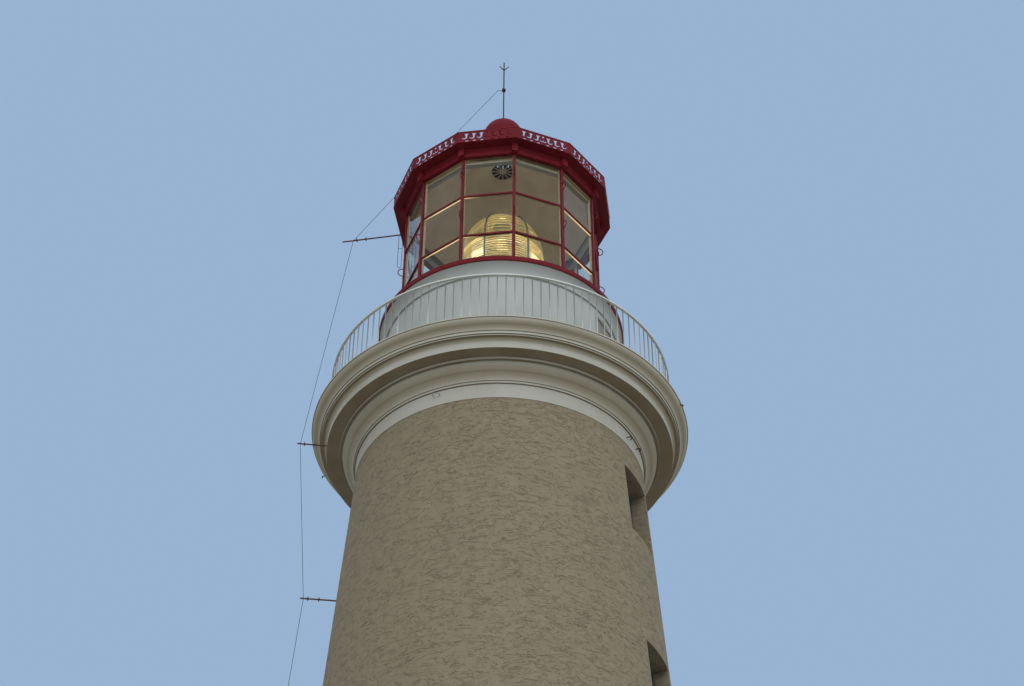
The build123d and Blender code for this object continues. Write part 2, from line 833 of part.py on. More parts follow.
# Down conductor: a wire from the clamp over the gutter, past the side of each bracket and down to the
# ground. It runs straight from the first to the last bracket on the wall.
wire_plane = upright(conductor_bearing, (bracket_bar + conductor_width) / 2)
route = [
    (clamp_width / 2, clamp_level),
    (clamp_width / 2 + 2 * wire_bend, clamp_level),
    (eave_radius + gutter_clearance, eave_level),
]
for seat_reach, seat, length, slope, catch in bracket_places[:3] + bracket_places[-1:]:
    turn = radians(slope)
    route.append((seat_reach + catch * cos(turn), seat - catch * sin(turn)))
earth_reach = wall_radius(0) + wall_bracket_length / 2
route += [(earth_reach, earth_run), (earth_reach, 0)]
with BuildPart() as down_conductor:
    with BuildLine(wire_plane):
        wire = FilletPolyline(*route, radius=wire_bend)
    with BuildSketch(Plane(origin=wire @ 0, z_dir=wire % 0, x_dir=wire_plane.z_dir)):
        Rectangle(conductor_width, conductor_width)
    sweep()
save(down_conductor.part, "down_conductor")

# Pedestal and table that carry the light
lens_level = gallery_level + lens_foot_height
with BuildPart() as pedestal:
    with BuildSketch(Plane.XY.offset(gallery_level)):
        Circle(pedestal_radius)
    extrude(amount=lens_foot_height - table_thickness)
    with BuildSketch(
        Plane.XY.offset(gallery_level), Plane.XY.offset(lens_level - table_thickness - pedestal_flange)
    ):
        Circle(pedestal_radius + 2 * pedestal_flange)
    extrude(amount=pedestal_flange)
save(pedestal.part, "pedestal")

with BuildPart() as lens_table:
    with BuildSketch(Plane.XY.offset(lens_level - table_thickness)):
        Circle(table_radius)
    extrude(amount=table_thickness)
save(lens_table.part, "lens_table")

# Lens outline: points up its outer edge for the base, the belt and the dome.
# The base and the dome follow a quarter of an ellipse, in equal steps of its angle.
belt_level = lens_level + lens_base_height
dome_level = belt_level + lens_belt_height
crown_level = dome_level + lens_dome_height
base_angles = [pi / 2 * step / lens_base_rings for step in range(lens_base_rings + 1)]
dome_angles = [pi / 2 * step / lens_dome_rings for step in range(lens_dome_rings + 1)]
base_edge = [
    (lens_radius - lens_base_inset * cos(turn), lens_level + lens_base_height * sin(turn))
    for turn in base_angles
]
dome_edge = [
    (
        lens_crown_radius + (lens_radius - lens_crown_radius) * cos(turn),
        dome_level + lens_dome_height * sin(turn),
    )
    for turn in dome_angles
]
bull_low = belt_level + (lens_belt_height - lens_bull_height) / 2
bull_high = bull_low + lens_bull_height
ring_height = (bull_low - belt_level) / lens_belt_rings
below_bull = [(lens_radius, belt_level + step * ring_height) for step in range(lens_belt_rings + 1)]
above_bull = [(lens_radius, bull_high + step * ring_height) for step in range(lens_belt_rings + 1)]


def grooved(edge):
    """Outer edge of a stack of glass rings: straight over each ring, with a notch between two."""
    points = [edge[0]]
    for low, high in zip(edge, edge[1:]):
        share = prism_groove / 2 / dist(low, high)
        start = (low[0] + (high[0] - low[0]) * share, low[1] + (high[1] - low[1]) * share)
        end = (high[0] - (high[0] - low[0]) * share, high[1] - (high[1] - low[1]) * share)
        if low != edge[0]:
            points.append(start)
        if high != edge[-1]:
            points += [end, (high[0] - prism_groove, high[1])]
    return points + [edge[-1]]


def inner_edge(edge):
    """Inner edge of a stack of glass rings, from its head down to its foot."""
    return [(reach - lens_wall, level) for reach, level in reversed(edge)]


with BuildPart() as lens_base:
    with BuildSketch(Plane.XZ):
        Polygon(*grooved(base_edge), *inner_edge(base_edge), align=None)
    revolve(axis=Axis.Z)
save(lens_base.part, "lens_base")

# Belt: rings above and below a rounded bull's-eye band
with BuildPart() as lens_belt:
    with BuildSketch(Plane.XZ):
        with BuildLine():
            bull_foot = (lens_radius - prism_groove, bull_low)
            bull_head = (lens_radius - prism_groove, bull_high)
            Polyline(*grooved(below_bull), bull_foot)
            ThreePointArc(bull_foot, (lens_radius, (bull_low + bull_high) / 2), bull_head)
            Polyline(
                bull_head,
                *grooved(above_bull),
                (lens_radius - lens_wall, dome_level),
                (lens_radius - lens_wall, belt_level),
                (lens_radius, belt_level),
            )
        make_face()
    revolve(axis=Axis.Z)
save(lens_belt.part, "lens_belt")

with BuildPart() as lens_dome:
    with BuildSketch(Plane.XZ):
        Polygon(*grooved(dome_edge), *inner_edge(dome_edge), align=None)
    revolve(axis=Axis.Z)
save(lens_dome.part, "lens_dome")

# Frame of the lens: upright ribs that stand on the table and meet in a cap on the crown
rib_head = lens_crown_radius - rib_width
rib_outline = [
    *base_edge,
    *dome_edge,
    (rib_head, crown_level),
    (rib_head, crown_level + rib_depth),
    *[
        (reach + rib_depth * cos(turn), level + rib_depth * sin(turn))
        for (reach, level), turn in reversed(list(zip(dome_edge, dome_angles)))
    ],
    (lens_radius + rib_depth, lens_level),
]
with BuildPart() as lens_frame:
    for number in range(lens_ribs):
        with BuildSketch(upright(corner_bearing + number * 360 / lens_ribs)):
            Polygon(*rib_outline, align=None)
        extrude(amount=rib_width / 2, both=True)
    with BuildSketch(Plane.XY.offset(crown_level)):
        Circle(lens_crown_radius)
    extrude(amount=rib_depth)
save(lens_frame.part, "lens_frame")

# Lamp: a bulb with a round head, on a stand in the middle of the lens
focus_level = (bull_low + bull_high) / 2
lamp_foot = focus_level - lamp_height / 2
with BuildPart() as lamp_stand:
    with BuildSketch(Plane.XY.offset(lens_level)):
        Circle(2 * lamp_stand_radius)
    extrude(amount=lamp_stand_foot)
    with BuildSketch(Plane.XY.offset(lens_level)):
        Circle(lamp_stand_radius)
    extrude(amount=lamp_foot - lens_level)
save(lamp_stand.part, "lamp_stand")

with BuildPart() as lamp:
    with BuildSketch(Plane.XY.offset(lamp_foot)):
        Circle(lamp_radius)
    extrude(amount=lamp_height - lamp_radius)
    with Locations((0, 0, lamp_foot + lamp_height - lamp_radius)):
        Sphere(lamp_radius)
save(lamp.part, "lamp")
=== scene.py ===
from math import radians

import bmesh
import bpy
import numpy as np
from mathutils import Matrix, Vector


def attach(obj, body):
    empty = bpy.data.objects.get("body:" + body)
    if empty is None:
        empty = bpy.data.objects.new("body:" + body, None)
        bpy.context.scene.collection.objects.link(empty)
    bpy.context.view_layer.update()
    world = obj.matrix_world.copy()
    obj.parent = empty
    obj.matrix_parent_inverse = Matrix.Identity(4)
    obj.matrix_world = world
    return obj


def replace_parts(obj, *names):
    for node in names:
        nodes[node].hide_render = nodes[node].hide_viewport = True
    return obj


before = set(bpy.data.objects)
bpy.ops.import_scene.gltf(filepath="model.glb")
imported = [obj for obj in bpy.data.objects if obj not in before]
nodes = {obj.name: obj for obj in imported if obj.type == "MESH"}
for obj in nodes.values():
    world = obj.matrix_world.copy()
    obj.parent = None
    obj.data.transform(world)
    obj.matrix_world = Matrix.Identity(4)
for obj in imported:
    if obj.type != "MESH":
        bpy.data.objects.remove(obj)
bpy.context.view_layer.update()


# Ground floor: a disc of worn paving stones that closes the foot of the tower.
# The slabs are laid in straight courses, with thin sanded joints.
def make_material(name, **sockets):
    """A new material, its node tree and its Principled shader, with the named sockets set to constants."""
    material = bpy.data.materials.new(name)
    material.use_nodes = True
    shader = material.node_tree.nodes["Principled BSDF"]
    for socket, value in sockets.items():
        shader.inputs[socket.replace("_", " ")].default_value = value
    return material, material.node_tree, shader


def feed(tree, shader, **sources):
    """Links sockets of a node tree to the named sockets of a shader."""
    for socket, source in sources.items():
        tree.links.new(source, shader.inputs[socket.replace("_", " ")])


def add_node(tree, kind, settings=None, inputs=None):
    """A shader node of a kind. Each input, by name or by number, is a constant or the socket that feeds
    it."""
    node = tree.nodes.new("ShaderNode" + kind)
    for key, value in (settings or {}).items():
        setattr(node, key, value)
    for key, value in (inputs or {}).items():
        if isinstance(value, bpy.types.NodeSocket):
            tree.links.new(value, node.inputs[key])
        else:
            node.inputs[key].default_value = value
    return node


def arithmetic(tree, operation, *values):
    """The result of a Math node on constants or sockets."""
    return add_node(tree, "Math", {"operation": operation}, dict(enumerate(values))).outputs[0]


def total(tree, first, second):
    """One value plus another."""
    return arithmetic(tree, "ADD", first, second)


def difference(tree, first, second):
    """One value less another."""
    return arithmetic(tree, "SUBTRACT", first, second)


def product(tree, first, second):
    """One value times another."""
    return arithmetic(tree, "MULTIPLY", first, second)


def blended(tree, share, first, second):
    """A colour between two colours, by a share from 0 to 1."""
    return add_node(tree, "Mix", {"data_type": "RGBA"}, {0: share, 6: first, 7: second}).outputs[2]


def object_place(tree):
    """A point's place in the tower's own coordinates."""
    return add_node(tree, "TexCoord").outputs["Object"]


def noise_at(tree, place, scale, detail, **more):
    """Cloudy noise at a place, about one half on average. More inputs of the node go by their names."""
    inputs = {"Vector": place, "Scale": scale, "Detail": detail, **more}
    return add_node(tree, "TexNoise", None, inputs).outputs["Fac"]


def stretched_noise(tree, stretch, scale, detail=4.0, roughness=0.55, distortion=0.0):
    """Noise on Object coordinates, which are first multiplied by a stretch along X, Y and Z."""
    inputs = {"Vector": object_place(tree), "Scale": stretch}
    mapped = add_node(tree, "Mapping", None, inputs).outputs[0]
    return noise_at(tree, mapped, scale, detail, Roughness=roughness, Distortion=distortion)


def ramp(tree, value, low, high, start=0.0, end=1.0):
    """A value moved from the range low to high into the range start to end, and held inside it."""
    inputs = {0: value, 1: low, 2: high, 3: start, 4: end}
    return add_node(tree, "MapRange", {"interpolation_type": "SMOOTHSTEP"}, inputs).outputs[0]


def raised(tree, height, distance):
    """A normal from a height, where a height of 1 stands proud by a distance in metres."""
    inputs = {"Height": height, "Distance": distance, "Strength": 1.0}
    return add_node(tree, "Bump", None, inputs).outputs[0]


def new_effect(name, inputs, outputs):
    """A node group for an effect: the group, its named inputs as they are read inside it, and its named
    outputs."""
    group = bpy.data.node_groups.new(name, "ShaderNodeTree")
    for label, kind, value in inputs:
        socket = group.interface.new_socket(name=label, in_out="INPUT", socket_type="NodeSocket" + kind)
        socket.default_value = value
    for label, kind in outputs:
        group.interface.new_socket(name=label, in_out="OUTPUT", socket_type="NodeSocket" + kind)
    start, end = group.nodes.new("NodeGroupInput"), group.nodes.new("NodeGroupOutput")
    return group, start.outputs, end.inputs


def mottling_effect():
    """Patches of a second colour over the first: cloudy noise, from soft to hard edges by contrast."""
    inputs = [
        ("Ground", "Color", (0.5, 0.5, 0.5, 1)),
        ("Patches", "Color", (0.3, 0.3, 0.3, 1)),
        ("Scale", "Float", 1.0),
        ("Softness", "Float", 0.2),
    ]
    group, given, result = new_effect("mottling", inputs, [("Colour", "Color"), ("Mask", "Float")])
    middle = 0.52
    low = difference(group, middle, given["Softness"])
    high = total(group, middle, given["Softness"])
    mask = ramp(group, noise_at(group, object_place(group), given["Scale"], 5.0), low, high)
    group.links.new(blended(group, mask, given["Ground"], given["Patches"]), result["Colour"])
    group.links.new(mask, result["Mask"])
    return group


mottling = mottling_effect()


def mottled(tree, ground, patches, scale, softness=0.2):
    """Colour and mask of the mottling effect in a material."""
    inputs = {"Ground": ground, "Patches": patches, "Scale": scale, "Softness": softness}
    node = add_node(tree, "Group", {"node_tree": mottling}, inputs)
    return node.outputs["Colour"], node.outputs["Mask"]


def dress(node_names, material):
    """Gives a material to carried-over CAD nodes, with shading that runs smoothly over curved faces."""
    for name in node_names:
        node = nodes[name]
        node.data.materials.clear()
        node.data.materials.append(material)
        smooth_curved_faces(node.data)


def smooth_curved_faces(mesh, limit=radians(24)):
    """Corner normals of a mesh of loose triangles, taken from a joined copy whose edges over the limit are
    sharp. Joining changes the order of the faces, so each corner of the copy carries its own number."""
    corner_count = len(mesh.loops)
    copy = mesh.copy()
    numbers = copy.attributes.new("own_corner", "INT", "CORNER")
    numbers.data.foreach_set("value", np.arange(corner_count, dtype=np.int32))
    joined = bmesh.new()
    joined.from_mesh(copy)
    bmesh.ops.remove_doubles(joined, verts=joined.verts, dist=1e-5)
    joined.to_mesh(copy)
    joined.free()
    if len(copy.loops) == corner_count:
        copy.shade_smooth()
        copy.set_sharp_from_angle(angle=limit)
        normals, own = np.empty(corner_count * 3, np.float32), np.empty(corner_count, np.int32)
        copy.corner_normals.foreach_get("vector", normals)
        copy.attributes["own_corner"].data.foreach_get("value", own)
        placed = np.empty((corner_count, 3), np.float32)
        placed[own] = normals.reshape(-1, 3)
        mesh.shade_smooth()
        mesh.normals_split_custom_set(placed)
    bpy.data.meshes.remove(copy)


paving, tree, shader = make_material("worn_paving", Specular_IOR_Level=0.3)
courses = {
    "Vector": object_place(tree), "Scale": 1.0, "Mortar Size": 0.008, "Brick Width": 0.6,
    "Row Height": 0.4, "Color1": (0.36, 0.35, 0.32, 1), "Color2": (0.28, 0.27, 0.25, 1),
    "Mortar": (0.16, 0.15, 0.13, 1),
}
slabs = add_node(tree, "TexBrick", None, courses).outputs
colour, mask = mottled(tree, slabs["Color"], (0.22, 0.20, 0.17, 1), 2.5)
height = total(tree, product(tree, slabs["Fac"], -1.0), stretched_noise(tree, (1, 1, 1), 40.0))
feed(tree, shader, Base_Color=colour, Roughness=ramp(tree, mask, 0, 1, 0.62, 0.82),
     Normal=raised(tree, height, 0.004))
dress(["ground_floor"], paving)


# Tower wall and window bays: brick masonry under a coat of rough cement render.
# The coat was pressed on by hand in short level strokes, which leave thin curved creases.
def rain_runs_effect():
    """Runs of dirt that rain has drawn down: noise stretched upright, kept where it is high."""
    inputs = [
        ("Scale", "Float", 3.0),
        ("Stretch", "Float", 0.1),
        ("Least", "Float", 0.52),
        ("Amount", "Float", 0.4),
    ]
    group, given, result = new_effect("rain runs", inputs, [("Mask", "Float")])
    stretch = add_node(group, "CombineXYZ", None, {0: 1.0, 1: 1.0, 2: given["Stretch"]}).outputs[0]
    factors = {0: object_place(group), 1: stretch}
    mapped = add_node(group, "VectorMath", {"operation": "MULTIPLY"}, factors).outputs[0]
    noise = noise_at(group, mapped, given["Scale"], 5.0, Roughness=0.6)
    mask = ramp(group, noise, given["Least"], total(group, given["Least"], 0.22))
    group.links.new(product(group, mask, given["Amount"]), result["Mask"])
    return group


def specks_effect():
    """Specks, pits or chips of any size: fine noise cut off at a level, with a short soft edge."""
    inputs = [("Scale", "Float", 18.0), ("Least", "Float", 0.66), ("Edge", "Float", 0.03)]
    group, given, result = new_effect("specks", inputs, [("Mask", "Float")])
    noise = noise_at(group, object_place(group), given["Scale"], 9.0, Roughness=0.68)
    most = total(group, given["Least"], given["Edge"])
    group.links.new(ramp(group, noise, given["Least"], most), result["Mask"])
    return group


rain_runs, specks = rain_runs_effect(), specks_effect()


def effect(tree, group, **inputs):
    """The first output of an effect placed in a material, with its named inputs."""
    return add_node(tree, "Group", {"node_tree": group}, inputs).outputs[0]


def creases(tree, stretch, scale, width, offset):
    """Short thin curved lines: where stretched noise crosses one half, kept only where a second noise is
    high."""
    inputs = {"Vector": object_place(tree), "Location": (offset,) * 3, "Scale": stretch}
    moved = add_node(tree, "Mapping", None, inputs).outputs[0]
    wave = noise_at(tree, moved, scale, 1.6, Roughness=0.5, Distortion=0.9)
    away = arithmetic(tree, "ABSOLUTE", difference(tree, wave, 0.5))
    kept = ramp(tree, noise_at(tree, moved, scale * 1.1, 1.0), 0.455, 0.515)
    return product(tree, ramp(tree, away, 0.0, width, 1.0, 0.0), kept)


render, tree, shader = make_material("rough_render", Specular_IOR_Level=0.2)
long_creases = creases(tree, (1, 1, 3.0), 3.6, 0.022, 3.0)
short_creases = creases(tree, (1, 1, 2.2), 7.0, 0.030, 11.0)
lines = arithmetic(tree, "MAXIMUM", long_creases, product(tree, short_creases, 0.8))
swell = stretched_noise(tree, (1, 1, 1.8), 4.2, 3.0)
grain = stretched_noise(tree, (1, 1, 1), 55.0, 3.0)
colour = mottled(tree, (0.236, 0.208, 0.146, 1), (0.214, 0.191, 0.138, 1), 0.9, 0.30)[0]
colour = mottled(tree, colour, (0.252, 0.220, 0.156, 1), 9.0, 0.16)[0]
runs = effect(tree, rain_runs, Scale=2.4, Stretch=0.08, Least=0.50, Amount=0.18)
colour = blended(tree, runs, colour, (0.170, 0.152, 0.116, 1))
pits = effect(tree, specks, Scale=30.0, Least=0.62, Edge=0.10)
colour = blended(tree, product(tree, pits, 0.30), colour, (0.120, 0.104, 0.076, 1))
# The creases are darkened in colour as well: painted shade in them, besides their relief.
colour = blended(tree, product(tree, lines, 0.50), colour, (0.088, 0.076, 0.053, 1))
height = total(tree, product(tree, swell, 1.3), product(tree, grain, 0.16))
height = difference(tree, height, product(tree, lines, 0.50))
feed(tree, shader, Base_Color=colour, Roughness=ramp(tree, grain, 0.3, 0.7, 0.82, 0.95),
     Normal=raised(tree, height, 0.011))
wall_parts = [f"tower_wall_{number}" for number in range(1, 7)]
dress(wall_parts + ["window_bay_left", "window_bay_right"], render)


# Windows: painted iron frames with a middle post and two glazing bars, puttied into the reveals.
# The bars stand on the panes and butt into the frame.
bay_bearing = -24.5
wall_top, recess, frame_depth = 20.27, 0.26, 0.035


def wall_reach(level):
    """Reach of the wall's face at a level above the ground."""
    return 3.695 - 1.31 * level / wall_top


def joined_parts(parts):
    """Vertices and faces of several parts as one mesh: each part's faces are counted on from the last
    vertex."""
    vertices = np.concatenate([part[0] for part in parts])
    counts = np.cumsum([0] + [len(part[0]) for part in parts])
    faces = [tuple(int(corner) + counts[number] for corner in face)
             for number, part in enumerate(parts) for face in part[1]]
    return vertices, faces


def turned_about_axis(vertices, bearing):
    """Points turned about the tower's axis, so that +X comes to point along a bearing."""
    turn = radians(bearing)
    spin = np.array([[np.cos(turn), np.sin(turn), 0], [-np.sin(turn), np.cos(turn), 0], [0, 0, 1]])
    return vertices @ spin


def turned_box(low, high, bearing):
    """A box between two corners, turned about the tower's axis to a bearing."""
    picks = np.array([(x, y, z) for x in (0, 1) for y in (0, 1) for z in (0, 1)])
    faces = [(0, 1, 3, 2), (4, 6, 7, 5), (0, 4, 5, 1), (2, 3, 7, 6), (0, 2, 6, 4), (1, 5, 7, 3)]
    return turned_about_axis(np.where(picks == 0, low, high).astype(float), bearing), faces


def put_piece(name, vertices, faces, material, slot, limit=radians(30)):
    """A piece made of vertices and faces, riding on the tower: its faces look outward, and it is smooth up
    to the limit of an edge."""
    mesh = bpy.data.meshes.new(name)
    mesh.from_pydata(np.asarray(vertices).tolist(), [], [tuple(int(c) for c in face) for face in faces])
    shell = bmesh.new()
    shell.from_mesh(mesh)
    bmesh.ops.remove_doubles(shell, verts=shell.verts, dist=1e-6)
    bmesh.ops.recalc_face_normals(shell, faces=shell.faces)
    shell.to_mesh(mesh)
    shell.free()
    mesh.shade_smooth()
    mesh.set_sharp_from_angle(angle=limit)
    mesh.materials.append(material)
    piece = bpy.data.objects.new(name, mesh)
    bpy.context.scene.collection.objects.link(piece)
    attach(piece, "root")
    return piece


def window_bars():
    """A middle post and two level bars in each window: boxes in front of the pane, turned to the bay's
    bearing."""
    first_drop, row_spacing, head_to_middle = 0.52, 3.32, 0.635
    half_width, half_height = 0.78 / 2, 1.15 / 2
    half_bar, bar_depth = 0.026 / 2, 0.034
    parts = []
    for bearing in (bay_bearing, bay_bearing + 180):
        for row in range(5):
            head = wall_top - first_drop - row * row_spacing
            middle = head - head_to_middle
            near = wall_reach(head) - recess - frame_depth + 0.004
            far = near + bar_depth
            low, high = (near, -half_bar, middle - half_height), (far, half_bar, middle + half_height)
            parts.append(turned_box(low, high, bearing))
            for level in (middle - half_height / 3, middle + half_height / 3):
                low = (near, -half_width, level - half_bar)
                high = (far - 0.004, half_width, level + half_bar)
                parts.append(turned_box(low, high, bearing))
    return joined_parts(parts)


joinery, tree, shader = make_material("dark_grey_paint", Specular_IOR_Level=0.4)
colour = mottled(tree, (0.075, 0.080, 0.075, 1), (0.115, 0.115, 0.105, 1), 9.0, 0.25)[0]
scuffs = effect(tree, specks, Scale=70.0, Least=0.62, Edge=0.06)
feed(tree, shader, Base_Color=blended(tree, scuffs, colour, (0.21, 0.19, 0.16, 1)),
     Roughness=ramp(tree, scuffs, 0, 1, 0.38, 0.75), Normal=raised(tree, scuffs, -0.0006))
dress(["window_frames", "door_frame"], joinery)
put_piece("window_glazing_bars", *window_bars(), joinery, "dark_joinery")


def let_light_through(tree, shader, tint):
    """Lets shadow rays and scattered rays pass through a glass as through air, so that light reaches what
    is behind it."""
    rays = add_node(tree, "LightPath")
    clear = add_node(tree, "BsdfTransparent", None, {"Color": tint})
    share = arithmetic(tree, "MAXIMUM", rays.outputs["Is Shadow Ray"], rays.outputs["Is Diffuse Ray"])
    mixed = add_node(tree, "MixShader", None, {0: share, 1: shader.outputs[0], 2: clear.outputs[0]})
    tree.links.new(mixed.outputs[0], tree.nodes["Material Output"].inputs["Surface"])


def glass_material(name, tint, roughness, grime, amount, **sockets):
    """Clear glass with a film of grime in patches, which is a little duller than the glass."""
    material, tree, shader = make_material(name, **sockets)
    film = ramp(tree, stretched_noise(tree, (1, 1, 0.5), 2.2, 6.0), 0.42, 0.75)
    colour = blended(tree, product(tree, film, amount), tint, grime)
    feed(tree, shader, Base_Color=colour, Roughness=ramp(tree, film, 0, 1, *roughness))
    let_light_through(tree, shader, (0.93, 0.94, 0.92, 1))
    return material


window_glass = glass_material(
    "window_glass", (0.72, 0.78, 0.76, 1), (0.02, 0.10), (0.45, 0.45, 0.40, 1), 0.5,
    Transmission_Weight=1.0, IOR=1.45,
)
dress(["window_panes"], window_glass)


# Entrance door: a two-panel leaf of painted planks, hung on strap hinges, with a drop handle.
# The straps are forged flat iron, bolted through the leaf.
door_face = wall_reach(2.25) - recess - frame_depth + 0.030


def prism_faces(points):
    """Faces of a prism whose two ends have so many points each: first the ends, then the sides."""
    sides = [(n, (n + 1) % points, points + (n + 1) % points, points + n) for n in range(points)]
    return [tuple(range(points))[::-1], tuple(range(points, 2 * points))] + sides


def strap(level):
    """A flat iron strap from the hinged edge of the leaf, a plate with a five-sided outline: it tapers
    towards its pointed free end."""
    edge, length, height, thickness = 0.385, 0.52, 0.06, 0.008
    tip = edge - length
    outline = np.array([(edge, 0), (edge, height), (tip, height * 0.72), (tip - 0.03, height / 2),
                        (tip, height * 0.28)])
    low = np.column_stack([np.full(5, door_face), outline[:, 0], outline[:, 1] + level])
    high = low + np.array([thickness, 0, 0])
    return turned_about_axis(np.concatenate([low, high]), bay_bearing), prism_faces(5)


def round_angles(count):
    """Angles at equal steps round a circle, in radians."""
    return np.linspace(0, 2 * np.pi, count + 1)[:-1]


def grid_faces(rows, columns, rows_closed=False, columns_closed=False):
    """Four-sided faces of a grid of points: each joins a point to the next in its row and in its column."""
    row = np.arange(rows if rows_closed else rows - 1)
    column = np.arange(columns if columns_closed else columns - 1)
    row, column = (grid.ravel() for grid in np.meshgrid(row, column, indexing="ij"))
    next_row, next_column = (row + 1) % rows, (column + 1) % columns
    corners = [row * columns + column, next_row * columns + column,
               next_row * columns + next_column, row * columns + next_column]
    return np.column_stack(corners)


def drop_handle():
    """A round bar bent into a ring, which hangs flat against the leaf."""
    radius, bar, aside, level = 0.045, 0.007, -0.29, 1.15
    turn, small = np.meshgrid(round_angles(24), round_angles(8), indexing="ij")
    reach = radius + bar * np.cos(small)
    points = np.stack([door_face + 0.012 + bar * np.sin(small), aside + reach * np.cos(turn),
                       level + reach * np.sin(turn)], axis=-1)
    return turned_about_axis(points.reshape(-1, 3), bay_bearing), grid_faces(24, 8, True, True)


def fine_relief_effect():
    """A fine even roughness, such as brush marks or orange peel, as a normal: noise raised by a
    distance."""
    inputs = [("Scale", "Float", 60.0), ("Distance", "Float", 0.001)]
    group, given, result = new_effect("fine relief", inputs, [("Normal", "Vector")])
    noise = noise_at(group, object_place(group), given["Scale"], 3.0)
    group.links.new(raised(group, noise, given["Distance"]), result["Normal"])
    return group


fine_relief = fine_relief_effect()


def patchy_material(name, ground, patches, scale, roughness, softness=0.2, **sockets):
    """A material of two mottled colours, whose roughness goes from one value to another with them."""
    material, tree, shader = make_material(name, **sockets)
    colour, mask = mottled(tree, ground, patches, scale, softness)
    feed(tree, shader, Base_Color=colour, Roughness=ramp(tree, mask, 0, 1, *roughness))
    return material, tree, shader


iron, tree, shader = patchy_material(
    "forged_iron", (0.060, 0.058, 0.058, 1), (0.125, 0.070, 0.042, 1), 16.0, (0.42, 0.80), 0.12,
    Metallic=0.85,
)
feed(tree, shader, Normal=effect(tree, fine_relief, Scale=120.0, Distance=0.0012))
door_irons = joined_parts([strap(level) for level in (0.32, 1.10, 1.92)] + [drop_handle()])
put_piece("entrance_door_straps", *door_irons, iron, "dark_iron")

timber, tree, shader = make_material("painted_door_timber", Specular_IOR_Level=0.35)
grain = stretched_noise(tree, (1, 1, 0.05), 60.0, 6.0, 0.6, 0.4)
colour = mottled(tree, (0.070, 0.100, 0.085, 1), (0.105, 0.130, 0.110, 1), 3.0)[0]
bare = ramp(tree, grain, 0.62, 0.72)
feed(tree, shader, Base_Color=blended(tree, bare, colour, (0.20, 0.16, 0.11, 1)),
     Roughness=ramp(tree, bare, 0, 1, 0.45, 0.85), Normal=raised(tree, grain, 0.0018))
dress(["entrance_door"], timber)


# Cornice: frieze, bed moulding, corona and gallery slab, run in plaster with a turning template.
# Each ring is one template drawn round the axis, with its edges slightly worn, and all are whitewashed.
gallery = 21.298
shaft_bore = 1.785


def arc_between(start, end, heading, count=14):
    """Points on the circle that leaves start along a heading and ends at end."""
    start, end, heading = (np.array(pair, float) for pair in (start, end, heading))
    heading /= np.hypot(*heading)
    square = np.array([-heading[1], heading[0]])
    chord = end - start
    radius = chord @ chord / (2 * chord @ square)
    centre = start + square * radius
    first, last = (np.arctan2(*(point - centre)[::-1]) for point in (start, end))
    sweep = (last - first + np.pi) % (2 * np.pi) - np.pi
    turn = first + sweep * np.linspace(0, 1, count)
    return centre + abs(radius) * np.column_stack([np.cos(turn), np.sin(turn)])


def curved_corners(start, corner, end, steps):
    """Points on short curves, one at each corner: a curve leaves its start towards the corner and comes
    to its end from there."""
    share = np.linspace(0, 1, steps)[None, :, None]
    points = (1 - share) ** 2 * start[:, None] + 2 * share * (1 - share) * corner[:, None]
    return (points + share**2 * end[:, None]).reshape(-1, corner.shape[1])


def eased(outline, radius):
    """A closed outline whose corners are worn: each becomes four points on the curve that leaves one side
    a radius before the corner and joins the other a radius after it, or less on a short side."""
    outline = np.asarray(outline, float)
    before, after = np.roll(outline, 1, 0) - outline, np.roll(outline, -1, 0) - outline
    length_before, length_after = (np.linalg.norm(side, axis=1, keepdims=True) for side in (before, after))
    start = outline + before / length_before * np.minimum(radius, length_before * 0.3)
    end = outline + after / length_after * np.minimum(radius, length_after * 0.3)
    return curved_corners(start, outline, end, 4)


def carried_round(outline, turn):
    """A closed outline of reach and level, carried round the axis to each of some angles."""
    outline, turn = np.asarray(outline, float), turn[:, None]
    points = np.stack([outline[:, 0] * np.cos(turn), outline[:, 0] * np.sin(turn),
                       np.broadcast_to(outline[:, 1], (len(turn), len(outline)))], axis=-1)
    return points.reshape(-1, 3), grid_faces(len(turn), len(outline), True, True)


def turned(outline, steps=360):
    """A ring: a closed outline of reach and level turned about the axis in equal steps."""
    return carried_round(outline, round_angles(steps))


def raised_levels(outline):
    """An outline whose levels were measured from the gallery floor, now measured from the ground."""
    return np.asarray(outline, float) + np.array([0, gallery])


def worn_ring(outline, wear):
    """A ring with levels from the gallery floor, whose edges are worn off by a radius."""
    return turned(eased(raised_levels(outline), wear))


frieze_outline = [(shaft_bore, -1.028), (2.393, -1.028), (2.398, -0.753), (shaft_bore, -0.753)]
bed_middle = (2.535, -0.598)
bed_outline = np.concatenate([
    [(shaft_bore, -0.753), (2.424, -0.753), (2.424, -0.715)],
    arc_between((2.440, -0.715), bed_middle, (0.2, 1)),
    arc_between((2.630, -0.481), bed_middle, (-0.2, -1))[-2::-1],
    [(2.630, -0.472), (2.652, -0.472), (2.652, -0.481), (2.690, -0.481), (2.690, -0.437)],
    [(shaft_bore, -0.437)],
])
corona_outline = np.concatenate([
    [(shaft_bore, -0.437), (2.904, -0.437)],
    arc_between((2.904, -0.330), (2.960, -0.262), (0, 1)),
    [(shaft_bore, -0.262)],
])
edge_middle = (3.100, -0.113)
slab_outline = np.concatenate([
    [(0.30, -0.262), (2.998, -0.262), (2.998, -0.240), (3.020, -0.240), (3.020, -0.190)],
    arc_between((3.036, -0.190), edge_middle, (0.25, 1)),
    arc_between((3.164, -0.036), edge_middle, (-0.25, -1))[-2::-1],
    [(3.164, -0.028), (3.180, -0.028), (3.180, 0.0), (0.30, 0.0)],
])


def facing_up(tree):
    """How far a face looks up: 1 straight up, 0 level and -1 straight down."""
    facing = add_node(tree, "TexCoord").outputs["Normal"]
    return add_node(tree, "SeparateXYZ", None, {0: facing}).outputs["Z"]


